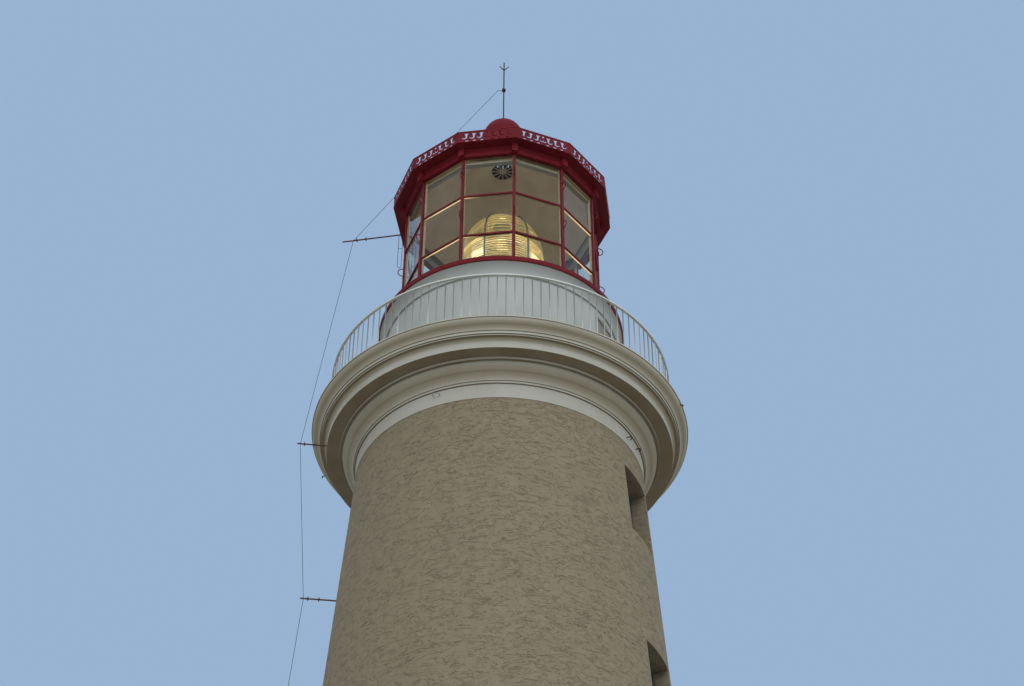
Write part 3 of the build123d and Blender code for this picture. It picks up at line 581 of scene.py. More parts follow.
def underside_shade_and_dirt_effect():
    """Darkening where faces tilt down, from a little to a given tilt, in soft clouds: painted shade under
    overhangs, with some dirt."""
    inputs = [("Amount", "Float", 0.6), ("Start", "Float", -0.1), ("Full", "Float", -0.85)]
    group, given, result = new_effect("underside shade and dirt", inputs, [("Mask", "Float")])
    down = ramp(group, facing_up(group), given["Start"], given["Full"])
    cloud = noise_at(group, object_place(group), 2.2, 4.0)
    share = product(group, down, ramp(group, cloud, 0.2, 0.8, 0.8, 1.0))
    group.links.new(product(group, share, given["Amount"]), result["Mask"])
    return group


underside_shade_and_dirt = underside_shade_and_dirt_effect()
white, tree, shader = make_material("weathered_whitewash", Specular_IOR_Level=0.2)
colour, mask = mottled(tree, (0.455, 0.470, 0.430, 1), (0.400, 0.405, 0.360, 1), 0.8, 0.30)
runs = effect(tree, rain_runs, Scale=1.7, Stretch=0.35, Least=0.50, Amount=0.35)
colour = blended(tree, runs, colour, (0.330, 0.320, 0.265, 1))
spots = product(tree, effect(tree, specks, Scale=16.0, Least=0.64, Edge=0.08), 0.35)
colour = blended(tree, spots, colour, (0.300, 0.270, 0.210, 1))
# Faces that look down are darkened in two steps, most straight down: painted shade, with some dirt.
stain_and_shade = effect(tree, underside_shade_and_dirt, Start=0.0, Full=-0.80, Amount=0.78)
colour = blended(tree, stain_and_shade, colour, (0.325, 0.292, 0.200, 1))
grime_and_shade = effect(tree, underside_shade_and_dirt, Start=-0.85, Full=-1.0, Amount=0.78)
colour = blended(tree, grime_and_shade, colour, (0.145, 0.108, 0.062, 1))
height = difference(tree, stretched_noise(tree, (1, 1, 3), 24.0, 4.0), product(tree, spots, 0.5))
feed(tree, shader, Base_Color=colour, Roughness=ramp(tree, mask, 0, 1, 0.62, 0.80),
     Normal=raised(tree, height, 0.0018))

plaster_rings = {"frieze": frieze_outline, "bed_moulding": bed_outline, "corona": corona_outline}
for node, outline in plaster_rings.items():
    ring_piece = put_piece(f"{node}_run", *worn_ring(outline, 0.004), white, "white_plaster", 0.4)
    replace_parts(ring_piece, node)


def slab_with_middle():
    """The slab's ring, and a plain disc of the same thickness in its middle, which closes it over the
    shaft."""
    points, radius = 360, 0.301
    around = round_angles(points)
    rims = [np.column_stack([radius * np.cos(around), radius * np.sin(around), np.full(points, level)])
            for level in (gallery - 0.262, gallery)]
    return joined_parts([worn_ring(slab_outline, 0.004), (np.concatenate(rims), prism_faces(points)[:2])])


slab = put_piece("gallery_slab_run", *slab_with_middle(), white, "white_plaster", 0.4)
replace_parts(slab, "gallery_slab")


# Small iron fittings on the cornice: a staple on the frieze, limewashed over, and four hooks on its edges.
# They are bent from bar and driven into the joints.
def tube_faces(rows, around):
    """Faces of a tube: rows of so many points each round it, with a cap on each of its two ends."""
    last = (rows - 1) * around
    caps = [tuple(range(around)), tuple(range(last + around - 1, last - 1, -1))]
    return list(map(tuple, grid_faces(rows, around, False, True))) + caps


def bar_along(path, radius, around=8):
    """A round bar along a path: rings of points stand square to the path, and a cap closes each end."""
    path = np.asarray(path, float)
    ahead = np.gradient(path, axis=0)
    ahead /= np.linalg.norm(ahead, axis=1, keepdims=True)
    guide = np.array([0.0, 0.0, 1.0]) if abs(ahead[:, 2]).max() < 0.9 else np.array([0.31, 0.95, 0.02])
    side = np.cross(ahead, guide)
    side /= np.linalg.norm(side, axis=1, keepdims=True)
    turn = round_angles(around)[:, None]
    rim = np.cos(turn) * side[:, None] + np.sin(turn) * np.cross(side, ahead)[:, None]
    return (path[:, None] + radius * rim).reshape(-1, 3), tube_faces(len(path), around)


def at_bearing(reach, bearing, level, sideways=0.0):
    """A point at a reach from the axis and a level above the gallery floor, moved sideways to the left."""
    turn = radians(bearing)
    out, left = np.array([np.cos(turn), np.sin(turn), 0]), np.array([-np.sin(turn), np.cos(turn), 0])
    return reach * out + sideways * left + np.array([0, 0, gallery + level])


def hook(bearing, reach, level, size):
    """A hook: straight out of the wall, then down and round in half a circle."""
    turn = np.linspace(0, np.pi, 9)
    outs = np.concatenate([[0, size * 0.8], size * 0.8 + size * 0.5 * np.sin(turn)])
    downs = np.concatenate([[0, 0], size * 0.5 * (1 - np.cos(turn))])
    path = [at_bearing(reach + out, bearing, level - down) for out, down in zip(outs, downs)]
    return bar_along(path, 0.009)


def staple(bearing, reach, level):
    """A staple: two short bars out of the wall and one that joins them."""
    corners = [(0, -0.055), (0.07, -0.055), (0.07, 0.055), (0, 0.055)]
    return bar_along([at_bearing(reach + out, bearing, level, aside) for out, aside in corners], 0.008)


put_piece("frieze_staple", *staple(-114.7, 2.394, -0.84), white, "white_plaster")
fittings = joined_parts([
    hook(-31.6, 2.395, -0.895, 0.07),
    hook(-22.5, 2.395, -0.86, 0.06),
    hook(163.0, 3.162, -0.050, 0.035),
    hook(-20.0, 3.162, -0.050, 0.035),
])
put_piece("cornice_fittings", *fittings, iron, "dark_iron")


# Kerb and railing: a low plastered kerb, and iron panels of square bars under a flat top rail.
# Each bar is leaded into the kerb, and the panels are bolted together by a fish plate under the rail.
kerb_top, rail_foot, rail_reach = 0.095, 1.124, 2.900
kerb_outline = [(2.860, 0.0), (2.955, 0.0), (2.955, kerb_top), (2.860, kerb_top)]
kerb = put_piece("kerb_run", *worn_ring(kerb_outline, 0.012), white, "white_plaster", 0.4)
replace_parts(kerb, "kerb")


def iron_paint(name, ground, patches, rust, gloss=0.45):
    """Thick brushed paint on iron: a slight change of shade, a few chips down to rust, and a soft orange
    peel."""
    material, tree, shader = make_material(name, Specular_IOR_Level=0.15)
    runs = effect(tree, rain_runs, Scale=5.0, Stretch=0.12, Least=0.52, Amount=0.45)
    colour = blended(tree, runs, mottled(tree, ground, patches, 2.2, 0.25)[0], patches)
    chips = effect(tree, specks, Scale=18.0, Least=0.69, Edge=0.03)
    height = difference(tree, product(tree, stretched_noise(tree, (1, 1, 1), 60.0, 2.0), 0.4), chips)
    feed(tree, shader, Base_Color=blended(tree, chips, colour, rust),
         Roughness=ramp(tree, chips, 0, 1, gloss, 0.85), Normal=raised(tree, height, 0.0010))
    return material


pale_paint = iron_paint(
    "off_white_iron_paint", (0.405, 0.445, 0.445, 1), (0.365, 0.396, 0.392, 1), (0.230, 0.130, 0.070, 1)
)
rail_paint = iron_paint(
    "pale_railing_paint", (0.600, 0.640, 0.620, 1), (0.520, 0.550, 0.530, 1), (0.260, 0.150, 0.080, 1)
)
dress([f"railing_{number}" for number in range(1, 5)], rail_paint)


def box_in_railing(half_depth, half_width, foot, head, bearing):
    """A box on the line of the railing's bars, between two levels above the gallery floor."""
    low = (rail_reach - half_depth, -half_width, gallery + foot)
    high = (rail_reach + half_depth, half_width, gallery + head)
    return turned_box(low, high, bearing)


def collars_and_plates(bars=128, joints=8):
    """A small square collar of lead round the foot of each bar, and a fish plate under the rail at each
    joint."""
    collars = [box_in_railing(0.017, 0.017, kerb_top, kerb_top + 0.008, -90 + (number + 0.5) * 360 / bars)
               for number in range(bars)]
    plates = [box_in_railing(0.016, 0.060, rail_foot - 0.008, rail_foot, -90 + number * 360 / joints)
              for number in range(joints)]
    return joined_parts(collars + plates)


put_piece("railing_collars_and_plates", *collars_and_plates(), rail_paint, "pale_iron")


# Drum: a round wall of rolled iron plate under the lantern, with its cove and a flat door.
# The plates meet on inside straps, so the outside is smooth; the door hangs on two hinges.
cove_outline = np.concatenate([
    [(2.010, 1.955), (2.063, 1.955), (2.063, 1.977)],
    arc_between((2.030, 1.977), (2.150, 2.196), (0, 1), 18),
    [(2.010, 2.196)],
])
cove = put_piece("drum_cove_run", *worn_ring(cove_outline, 0.004), pale_paint, "pale_iron", 0.4)
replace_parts(cove, "drum_cove")
dress(["drum_wall"], pale_paint)

door_paint = iron_paint(
    "grey_door_paint", (0.250, 0.230, 0.190, 1), (0.200, 0.185, 0.150, 1), (0.160, 0.090, 0.050, 1)
)
dress(["gallery_door"], door_paint)
frame_paint = iron_paint(
    "grey_frame_paint", (0.330, 0.345, 0.330, 1), (0.280, 0.290, 0.275, 1), (0.160, 0.090, 0.050, 1)
)
dress(["gallery_door_frame"], frame_paint)


def door_fittings():
    """Two hinge barrels on one edge of the gallery door, and a handle near the other."""
    bearing, face, hinge_aside, handle_aside = -28.5, 2.000, -0.270, 0.225
    parts = []
    for foot in (0.30, 1.50):
        ends = [at_bearing(face + 0.004, bearing, level, hinge_aside) for level in (foot, foot + 0.14)]
        parts.append(bar_along(ends, 0.012))
    grip = [(0.0, 0.86), (0.022, 0.87), (0.022, 1.03), (0.0, 1.04)]
    path = [at_bearing(face + out, bearing, level, handle_aside) for out, level in grip]
    return joined_parts(parts + [bar_along(path, 0.008)])


put_piece("gallery_door_fittings", *door_fittings(), iron, "dark_iron")


# Sill ring: a heavy cast ring with a rounded nose, painted red, on which the lantern stands.
# It is bolted down through its top, between the mullions.
sill_top = 2.300
sill_outline = [(1.693, 2.196), (2.173, 2.196), (2.173, sill_top), (1.693, sill_top)]
red_ground, red_patches = (0.160, 0.0130, 0.0190, 1), (0.124, 0.0100, 0.0150, 1)
rust = (0.080, 0.028, 0.017, 1)
red_paint = iron_paint("dark_red_iron_paint", red_ground, red_patches, rust, 0.55)
sill = put_piece("sill_ring_cast", *worn_ring(sill_outline, 0.014), red_paint, "red_iron", 0.4)
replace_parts(sill, "sill_ring")
corners, side_angle = range(12), 30


def corner_bearing(corner):
    """Bearing of a corner of the lantern, in degrees."""
    return 6.44 + side_angle * corner


def bolt_head(bearing, reach, level):
    """A six-sided bolt head that stands on a level face."""
    size, height, turn = 0.016, 0.010, round_angles(6)
    centre = at_bearing(reach, bearing, level)
    rim = np.column_stack([size * np.cos(turn), size * np.sin(turn), np.zeros(6)])
    top = centre + rim * np.array([0.9, 0.9, 1]) + np.array([0, 0, height])
    return np.concatenate([centre + rim, top]), prism_faces(6)


sill_bolts = joined_parts([
    bolt_head(corner_bearing(corner) + aside, 2.06, sill_top) for corner in corners for aside in (-8, 0, 8)
])
put_piece("sill_bolts", *sill_bolts, red_paint, "red_iron")


# Mullions and transoms: flat iron bars on the twelve corners and level bars between them.
# Outside they carry the lantern's red paint, inside they are cream to throw the light back.
def own_bearing(tree):
    """Bearing of a point about the tower's axis, in radians."""
    place = add_node(tree, "SeparateXYZ", None, {0: object_place(tree)}).outputs
    return arithmetic(tree, "ARCTAN2", place["Y"], place["X"])


def lantern_side_effect():
    """1 outside the twelve-sided glass and 0 inside it. A point is outside where its distance from the
    axis, measured square to its side, is over the border, or where its face looks away from the axis."""
    group, given, result = new_effect("lantern side", [("Border", "Float", 1.72)], [("Mask", "Float")])
    factors = {0: object_place(group), 1: (1, 1, 0)}
    flat = add_node(group, "VectorMath", {"operation": "MULTIPLY"}, factors).outputs[0]
    from_corner = difference(group, own_bearing(group), radians(corner_bearing(0)))
    in_side = arithmetic(group, "FLOORED_MODULO", from_corner, radians(side_angle))
    aside = difference(group, in_side, radians(side_angle / 2))
    reach = add_node(group, "VectorMath", {"operation": "LENGTH"}, {0: flat}).outputs["Value"]
    square = product(group, reach, arithmetic(group, "COSINE", aside))
    outwards = add_node(group, "VectorMath", {"operation": "NORMALIZE"}, {0: flat}).outputs[0]
    directions = {0: outwards, 1: add_node(group, "NewGeometry").outputs["True Normal"]}
    facing = add_node(group, "VectorMath", {"operation": "DOT_PRODUCT"}, directions).outputs["Value"]
    beyond = arithmetic(group, "GREATER_THAN", square, given["Border"])
    outside = arithmetic(group, "MAXIMUM", arithmetic(group, "GREATER_THAN", facing, 0.5), beyond)
    group.links.new(outside, result["Mask"])
    return group


def beams_effect():
    """Where four beams leave the lens square to each other, for painted light: 1 in the middle of each, and
    0 below a least share."""
    group, given, result = new_effect("beams", [("Least", "Float", 0.0)], [("Mask", "Float")])
    turn = product(group, total(group, own_bearing(group), radians(125)), 4.0)
    share = ramp(group, arithmetic(group, "COSINE", turn), given["Least"], 1.0)
    group.links.new(share, result["Mask"])
    return group


lantern_side, beams = lantern_side_effect(), beams_effect()


def two_sided_paint(name, inner, inner_patches, glow):
    """Red paint outside the glass and another inside it. Inner undersides get a painted glow, by emission,
    where a beam of the lens passes."""
    material, tree, shader = make_material(name, Specular_IOR_Level=0.2, Emission_Strength=1.0)
    outside = effect(tree, lantern_side, Border=1.7193)
    red = mottled(tree, red_ground, red_patches, 3.0)[0]
    colour = blended(tree, outside, mottled(tree, inner, inner_patches, 5.0)[0], red)
    chips = effect(tree, specks, Scale=24.0, Least=0.67, Edge=0.03)
    # Inner undersides in a beam glow by emission: painted light from the lens.
    under_beam = product(tree, ramp(tree, facing_up(tree), -0.4, -0.9), effect(tree, beams, Least=-0.1))
    lit = product(tree, under_beam, difference(tree, 1.0, outside))
    feed(tree, shader, Base_Color=blended(tree, chips, colour, rust),
         Roughness=ramp(tree, chips, 0, 1, 0.45, 0.85),
         Normal=effect(tree, fine_relief, Scale=60.0, Distance=0.0008),
         Emission_Color=blended(tree, lit, (0.0, 0.0, 0.0, 1), glow))
    return material


glazing_paint = two_sided_paint(
    "red_outside_cream_inside", (0.420, 0.370, 0.260, 1), (0.350, 0.300, 0.200, 1), (0.85, 0.62, 0.32, 1)
)
dress(["mullions", "lower_transoms", "upper_transoms"], glazing_paint)


def head_on_face(corner, inner, outer, level, radius, aside=0.0, taper=1.0):
    """A six-sided head on an upright face at a corner of the lantern, from an inner to an outer reach. Its
    outer end is narrowed by a taper."""
    turn = round_angles(6)
    sideways, levels = radius * np.cos(turn) + aside, radius * np.sin(turn) + gallery + level
    rim = np.column_stack([np.zeros(6), sideways, levels])
    low, high = rim + np.array([inner, 0, 0]), rim * np.array([1, taper, 1]) + np.array([outer, 0, 0])
    return turned_about_axis(np.concatenate([low, high]), corner_bearing(corner)), prism_faces(6)


mullion_face = 1.815
cover_screws = joined_parts([
    head_on_face(corner, mullion_face - 0.002, mullion_face + 0.0045, level, 0.009, taper=0.8)
    for corner in corners for level in np.arange(2.42, 5.2, 0.24)
])
put_piece("mullion_screws", *cover_screws, red_paint, "red_iron")


# Lantern panes: plate glass in three rows, bedded in putty against the bars.
# Salt and dust leave a thin film in patches.
pane_glass = glass_material(
    "lantern_glass", (0.95, 0.96, 0.93, 1), (0.0, 0.012), (0.86, 0.86, 0.80, 1), 0.5,
    Transmission_Weight=1.0, IOR=1.18,
)
dress(["lantern_panes"], pane_glass)


# Handholds: rings of round bar on the mullions, by which the glass is cleaned from outside.
# Each is bent to half a circle, and its two ends are riveted to the bar's face. One is left out where
# the bracket of the lightning conductor stands.
hold_levels, bracket_corner = (3.7665, 4.7555), 6


def handhold(corner, level):
    """A round bar bent into half a ring, from one point on the mullion's face round to another."""
    turn = np.linspace(-np.pi / 2, np.pi / 2, 25)
    outs, rises = mullion_face + 0.088 * np.cos(turn), level + 0.090 * np.sin(turn)
    path = [at_bearing(out, corner_bearing(corner), rise) for out, rise in zip(outs, rises)]
    return bar_along(path, 0.009)


holds = [handhold(corner, level) for level in hold_levels for corner in corners
         if (corner, level) != (bracket_corner, hold_levels[1])]
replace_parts(put_piece("handhold_rings", *joined_parts(holds), red_paint, "red_iron"), "handholds")


# Head of the lantern: a deep band over the glass with a block on each corner, under a flat iron soffit.
# The band is bolted to the mullions through the blocks.
head_paint = two_sided_paint(
    "red_outside_buff_inside", (0.190, 0.170, 0.125, 1), (0.150, 0.132, 0.095, 1), (0.06, 0.045, 0.025, 1)
)
dress(["head_band"], head_paint)
dress(["eave_soffit"], red_paint)


def ring_of_sides(outline):
    """A twelve-sided ring: a closed outline, whose reach is to the corners, set up at each corner of the
    lantern."""
    return carried_round(raised_levels(outline), np.radians(corner_bearing(np.array(corners))))


head_beads = joined_parts([
    ring_of_sides([(1.850, 5.233), (1.864, 5.238), (1.864, 5.256), (1.850, 5.262)]),
    ring_of_sides([(1.850, 5.375), (1.872, 5.388), (1.876, 5.423), (1.850, 5.423)]),
])
put_piece("head_beads", *head_beads, red_paint, "red_iron", 0.6)
block_bolts = joined_parts([
    head_on_face(corner, 1.9185, 1.929, level, 0.012, aside)
    for corner in corners for level in (5.285, 5.375) for aside in (-0.03, 0.03)
])
put_piece("corner_block_bolts", *block_bolts, red_paint, "red_iron")


# Gutter front: plates pierced with scrolls, one to each side, standing on the edge of the soffit.
# A half-round rail caps the plates outside and a thin bead runs along their foot.
dress(["gutter_fretwork"], red_paint)
crest = ring_of_sides([
    (2.0560, 5.690), (2.0640, 5.691), (2.0675, 5.697), (2.0675, 5.706), (2.0640, 5.712), (2.0560, 5.7135),
])
foot_bead = ring_of_sides([
    (2.0560, 5.4235), (2.0630, 5.4235), (2.0655, 5.431), (2.0630, 5.4385), (2.0560, 5.4385),
])
put_piece("gutter_crest_and_bead", *joined_parts([crest, foot_bead]), red_paint, "red_iron", 0.6)


# Roof: twelve sheets of iron that meet in rolled seams on the hips, up to the vent neck.
# The rolls are lapped and riveted over each joint.
dress(["roof"], red_paint)
roof_foot, roof_pitch, neck_radius = 1.9319, radians(38), 0.215


def roof_level(apothem):
    """Level of the sheets' outer face at a distance from the axis, measured square to a side."""
    return gallery + 5.443 + (roof_foot - apothem) * np.tan(roof_pitch)


def hip_roll(corner):
    """A round roll along one hip: from the foot of the roof to the neck, just proud of the sheets."""
    turn = radians(corner_bearing(corner))
    apothem = np.linspace(roof_foot - 0.03, neck_radius + 0.020, 12)
    reach = apothem / np.cos(radians(side_angle / 2)) - 0.004
    path = np.column_stack([reach * np.cos(turn), reach * np.sin(turn), roof_level(apothem)])
    return bar_along(path, 0.014)


put_piece("roof_hip_rolls", *joined_parts([hip_roll(corner) for corner in corners]), red_paint, "red_iron")


# Vent neck and ball: a short pierced pipe of iron, near black inside, under a beaten copper ball, both red.
# The ball is two half shells lapped at the middle, over a collar; its vents face down.
neck_paint = two_sided_paint(
    "red_outside_near_black_inside", (0.034, 0.030, 0.024, 1), (0.026, 0.022, 0.017, 1), (0.0, 0.0, 0.0, 1)
)
dress(["vent_neck"], neck_paint)
ball_radius, neck_height, rod_radius = 0.400, 0.553, 0.046
ball_level = roof_level(neck_radius) + neck_height + np.sqrt(ball_radius**2 - neck_radius**2)


def ball_shell():
    """The ball: an upright half circle, with a lapped seam a little proud at its middle, turned about the
    axis."""
    low, high = -np.arccos(neck_radius / ball_radius), np.arccos(rod_radius / ball_radius)
    rise, seam = np.linspace(low, high, 64), 0.004
    reach = (ball_radius - seam) + seam * np.exp(-(((rise - 0.02) / 0.03) ** 2))
    outline = np.column_stack([reach * np.cos(rise), reach * np.sin(rise)])
    outline = np.concatenate([outline, outline[::-1] * 0.97])
    return turned(outline + np.array([0, ball_level]), 144)


ball = put_piece("ventilator_ball_shell", *ball_shell(), red_paint, "red_iron", 0.9)
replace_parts(ball, "ventilator_ball")


def ball_vents():
    """Oval cowls over the vents, low on the ball: each is a shallow cap on a short oval rim, seen from
    below."""
    parts = []
    around, dip = round_angles(16)[:, None], radians(-38)
    for number in range(12):
        turn = radians(15 + 30 * number)
        out = np.array([np.cos(turn) * np.cos(dip), np.sin(turn) * np.cos(dip), np.sin(dip)])
        side = np.array([-np.sin(turn), np.cos(turn), 0.0])
        oval = 0.030 * np.cos(around) * side + 0.016 * np.sin(around) * np.cross(out, side)
        centre = np.array([0, 0, ball_level]) + out * 0.393
        rims = [centre + oval * size + out * proud
                for size, proud in ((1, 0), (0.9, 0.006), (0.72, 0.006), (0.66, 0.001))]
        parts.append((np.concatenate(rims), tube_faces(4, 16)))
    return joined_parts(parts)


# The cowls get a darker copy of the red paint: painted shade, low under the ball.
shaded_red = iron_paint(
    "shaded_red_iron_paint", (0.060, 0.0075, 0.0140, 1), (0.040, 0.0065, 0.0100, 1),
    (0.050, 0.022, 0.016, 1), 0.6,
)
put_piece("ball_vent_rims", *ball_vents(), shaded_red, "red_iron")


# Ceiling of the lantern: tongued boards painted buff, rising from the head band to an open rosette.
# A cream rail on the head band runs round the top of the glass, and carries the blinds.
def ceiling_paint(name, glow, boards=96):
    """Buff paint on boards that run up the slope: a fine dark joint between boards, and a faint painted
    warm glow."""
    material, tree, shader = make_material(name, Specular_IOR_Level=0.1, Emission_Strength=glow)
    board = arithmetic(tree, "FRACT", product(tree, own_bearing(tree), boards / (2 * np.pi)))
    joint = ramp(tree, arithmetic(tree, "ABSOLUTE", difference(tree, board, 0.5)), 0.44, 0.49)
    colour, mask = mottled(tree, (0.330, 0.268, 0.175, 1), (0.275, 0.220, 0.140, 1), 2.0)
    # The emission is a painted warm glow, as if the lamp lit the boards.
    feed(tree, shader,
         Base_Color=blended(tree, product(tree, joint, 0.35), colour, (0.12, 0.095, 0.055, 1)),
         Emission_Color=blended(tree, mask, (0.085, 0.068, 0.044, 1), (0.072, 0.056, 0.034, 1)),
         Roughness=ramp(tree, mask, 0, 1, 0.48, 0.65), Normal=raised(tree, joint, -0.003))
    return material


dress(["ceiling"], ceiling_paint("buff_ceiling_paint", 1.0))
cream_paint = iron_paint(
    "cream_iron_paint", (0.330, 0.330, 0.285, 1), (0.280, 0.275, 0.230, 1), (0.150, 0.095, 0.050, 1)
)
dress(["ceiling_moulding"], cream_paint)
dress(["ceiling_rosette"], ceiling_paint("buff_rosette_paint", 0.6))


# Pedestal and table: a cast column that carries the lens, with a turned iron table on top.
# The two are bolted together and painted grey-green.
green_paint = iron_paint(
    "grey_green_iron_paint", (0.210, 0.250, 0.205, 1), (0.165, 0.200, 0.165, 1), (0.180, 0.100, 0.050, 1)
)
dress(["pedestal", "lens_table"], green_paint)


# Lens: a base, a belt and a dome of ground glass prisms, each ring bedded in a light metal frame.
# The prisms of the base and the dome turn the light level by reflecting it inside the glass.
lens_foot = 3.120
belt_foot, dome_foot = lens_foot + 0.360, lens_foot + 1.120
lens_reach, crown_reach, lens_wall = 0.780, 0.210, 0.070


def prism_teeth(edge, rings, depth):
    """An outer edge cut into prisms: along each ring the glass swells from a groove to its full reach and
    back in a short steep face. The edge is a function from a share of its length to reach and level."""
    share = np.linspace(0, 1, rings + 1)
    low, high = edge(share[:-1]), edge(share[1:])
    along = high - low
    outward = np.column_stack([along[:, 1], -along[:, 0]]) / np.linalg.norm(along, axis=1, keepdims=True)
    points = [low - outward * depth, low + along * 0.12, low + along * 0.50, high - along * 0.06,
              high - outward * depth]
    return np.stack(points, axis=1).reshape(-1, 2)


def lens_ring(edge, rings, depth):
    """Glass prisms turned about the axis: teeth outside and a smooth inner edge one wall further in. With
    them come the points of the outline, and how near each is to a joint between two teeth, from 0 to 1."""
    outer = prism_teeth(edge, rings, depth)
    inner = edge(np.linspace(1, 0, 4 * rings)) - np.array([lens_wall * 0.6, 0])
    outline = raised_levels(np.concatenate([outer, inner]))
    near = np.concatenate([np.tile([1, 0.5, 0, 0.5, 1], rings), np.zeros(len(inner))])
    return turned(outline, 180), outline, near


def mark_joints(piece, outline, near):
    """Gives each point of a turned mesh, for the material, the value of the outline's point that it came
    from."""
    points = np.empty(len(piece.data.vertices) * 3)
    piece.data.vertices.foreach_get("co", points)
    points = points.reshape(-1, 3)
    flat = np.column_stack([np.hypot(points[:, 0], points[:, 1]), points[:, 2]])
    nearest = np.linalg.norm(flat[:, None] - outline[None], axis=2).argmin(axis=1)
    marks = piece.data.attributes.new("joint", "FLOAT", "POINT")
    marks.data.foreach_set("value", near[nearest].astype(np.float32))


def base_edge(share):
    """Quarter of an ellipse, from inside at the foot out to the belt."""
    turn = np.pi / 2 * share
    return np.column_stack([lens_reach - 0.004 - 0.120 * np.cos(turn),
                            lens_foot + 0.002 + 0.358 * np.sin(turn)])


def belt_edge(share):
    """A straight upright edge."""
    return np.column_stack([np.full_like(share, lens_reach - 0.002), belt_foot + 0.760 * share])


def dome_edge(share):
    """Quarter of an ellipse, from the belt in to the crown."""
    turn = np.pi / 2 * share
    return np.column_stack([crown_reach + (lens_reach - 0.006 - crown_reach) * np.cos(turn),
                            dome_foot + 0.924 * np.sin(turn)])


def own_level(tree):
    """Level of a point above the ground."""
    return add_node(tree, "SeparateXYZ", None, {0: object_place(tree)}).outputs["Z"]


lens_glass, tree, shader = patchy_material(
    "lens_crown_glass", (0.94, 0.91, 0.76, 1), (0.90, 0.86, 0.68, 1), 4.0, (0.0, 0.03),
    Transmission_Weight=1.0, IOR=1.38, Emission_Strength=1.25,
)
# The lens's emission is painted light: a faint golden glow in pools, gleams along the prism joints,
# strongest in four beams, and hot spots near the focus.
level = difference(tree, own_level(tree), gallery)
joint = add_node(tree, "Attribute", {"attribute_name": "joint"}).outputs["Fac"]
broken = ramp(tree, stretched_noise(tree, (1, 1, 9), 2.4, 2.0, 0.6, 0.3), 0.42, 0.60, 0.14, 1.0)
upper = ramp(tree, arithmetic(tree, "ABSOLUTE", difference(tree, level, 4.13)), 0.14, 0.07)
share = total(tree, product(tree, upper, 0.45), 0.16)
share = total(tree, share, product(tree, effect(tree, beams, Least=0.3), 0.40))
aside = product(tree, effect(tree, beams, Least=-0.6), ramp(tree, level, 4.20, 4.34))
share = product(tree, share, difference(tree, 1.0, aside))
painted_gleam = product(tree, product(tree, joint, share), broken)
near_focus = ramp(tree, arithmetic(tree, "ABSOLUTE", difference(tree, level, 3.88)), 0.13, 0.02)
bright_teeth = ramp(tree, joint, 0.0, 0.8, 0.35, 1.0)
painted_hot_spot = product(tree, effect(tree, beams, Least=0.55), product(tree, near_focus, bright_teeth))
pools = ramp(tree, stretched_noise(tree, (1, 1, 2.2), 2.6, 2.0, 0.6, 0.5), 0.40, 0.66)
painted_golden_glow = blended(tree, pools, (0.010, 0.007, 0.002, 1), (0.070, 0.049, 0.013, 1))
painted_glow_and_gleams = blended(tree, painted_gleam, painted_golden_glow, (0.95, 0.72, 0.34, 1))
feed(tree, shader, Emission_Color=blended(tree, painted_hot_spot, painted_glow_and_gleams, (1.0, 0.84, 0.46, 1)))
let_light_through(tree, shader, (0.97, 0.95, 0.86, 1))
prism_depth = 0.014
lens_parts = [("lens_base", base_edge, 6), ("lens_belt", belt_edge, 13), ("lens_dome", dome_edge, 15)]
for node, edge, rings in lens_parts:
    prisms, outline, near = lens_ring(edge, rings, prism_depth)
    piece = put_piece(f"{node}_prisms", *prisms, lens_glass, "lens_glass", 0.3)
    mark_joints(piece, outline, near)
    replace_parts(piece, node)

steel_blue, tree, shader = patchy_material(
    "dulled_gunmetal", (0.400, 0.470, 0.510, 1), (0.310, 0.350, 0.360, 1), 7.0, (0.34, 0.52), Metallic=0.8,
)
feed(tree, shader, Normal=raised(tree, stretched_noise(tree, (1, 1, 12), 40.0, 3.0), 0.0006))
dress(["lens_frame"], steel_blue)


# Lamp: a lit glass bulb on a turned metal stand, in the focus of the lens.
# The bulb glows warmer in some patches than in others.
dress(["lamp_stand"], steel_blue)
bulb, tree, shader = make_material("lit_bulb", Emission_Strength=3.5)
hot = ramp(tree, stretched_noise(tree, (1, 1, 0.6), 9.0, 2.0), 0.35, 0.65)
feed(tree, shader, Emission_Color=blended(tree, hot, (1.0, 0.72, 0.36, 1), (1.0, 0.86, 0.56, 1)),
     Base_Color=blended(tree, hot, (0.9, 0.8, 0.6, 1), (1.0, 0.9, 0.75, 1)),
     Roughness=ramp(tree, hot, 0, 1, 0.2, 0.4))
dress(["lamp"], bulb)


# Lightning rod and its conductor: a forged rod with two side prongs, and a stranded wire to the ground.
# The wire is clamped to the rod and lies against the side of each forged bracket, outside two ceramic
# insulators. The bracket that stands out from the lantern is painted red.
dress(["lightning_rod"], iron)
bracket_iron, tree, shader = make_material("bracket_iron", Specular_IOR_Level=0.3)
high = arithmetic(tree, "GREATER_THAN", own_level(tree), gallery + 2.0)
red = mottled(tree, (0.090, 0.0100, 0.0150, 1), (0.060, 0.0080, 0.0110, 1), 3.0)[0]
bare, mask = mottled(tree, (0.060, 0.055, 0.052, 1), (0.125, 0.075, 0.048, 1), 12.0)
feed(tree, shader, Base_Color=blended(tree, high, bare, red), Roughness=ramp(tree, mask, 0, 1, 0.45, 0.80),
     Normal=effect(tree, fine_relief, Scale=120.0, Distance=0.0012))
dress(["conductor_brackets"], bracket_iron)


def turned_on_bar(points, start, direction, steps=28):
    """A turned piece on a bar: an outline of reach and distance along the bar, carried round the bar's
    line."""
    side = np.cross(direction, (0.0, 0.0, 1.0))
    side /= np.linalg.norm(side)
    turn = round_angles(steps)[:, None, None]
    reach, along = points[None, :, :1], points[None, :, 1:]
    rim = np.cos(turn) * side + np.sin(turn) * np.cross(side, direction)
    vertices = (start + direction * along + reach * rim).reshape(-1, 3)
    return vertices, grid_faces(steps, len(points), True, True)


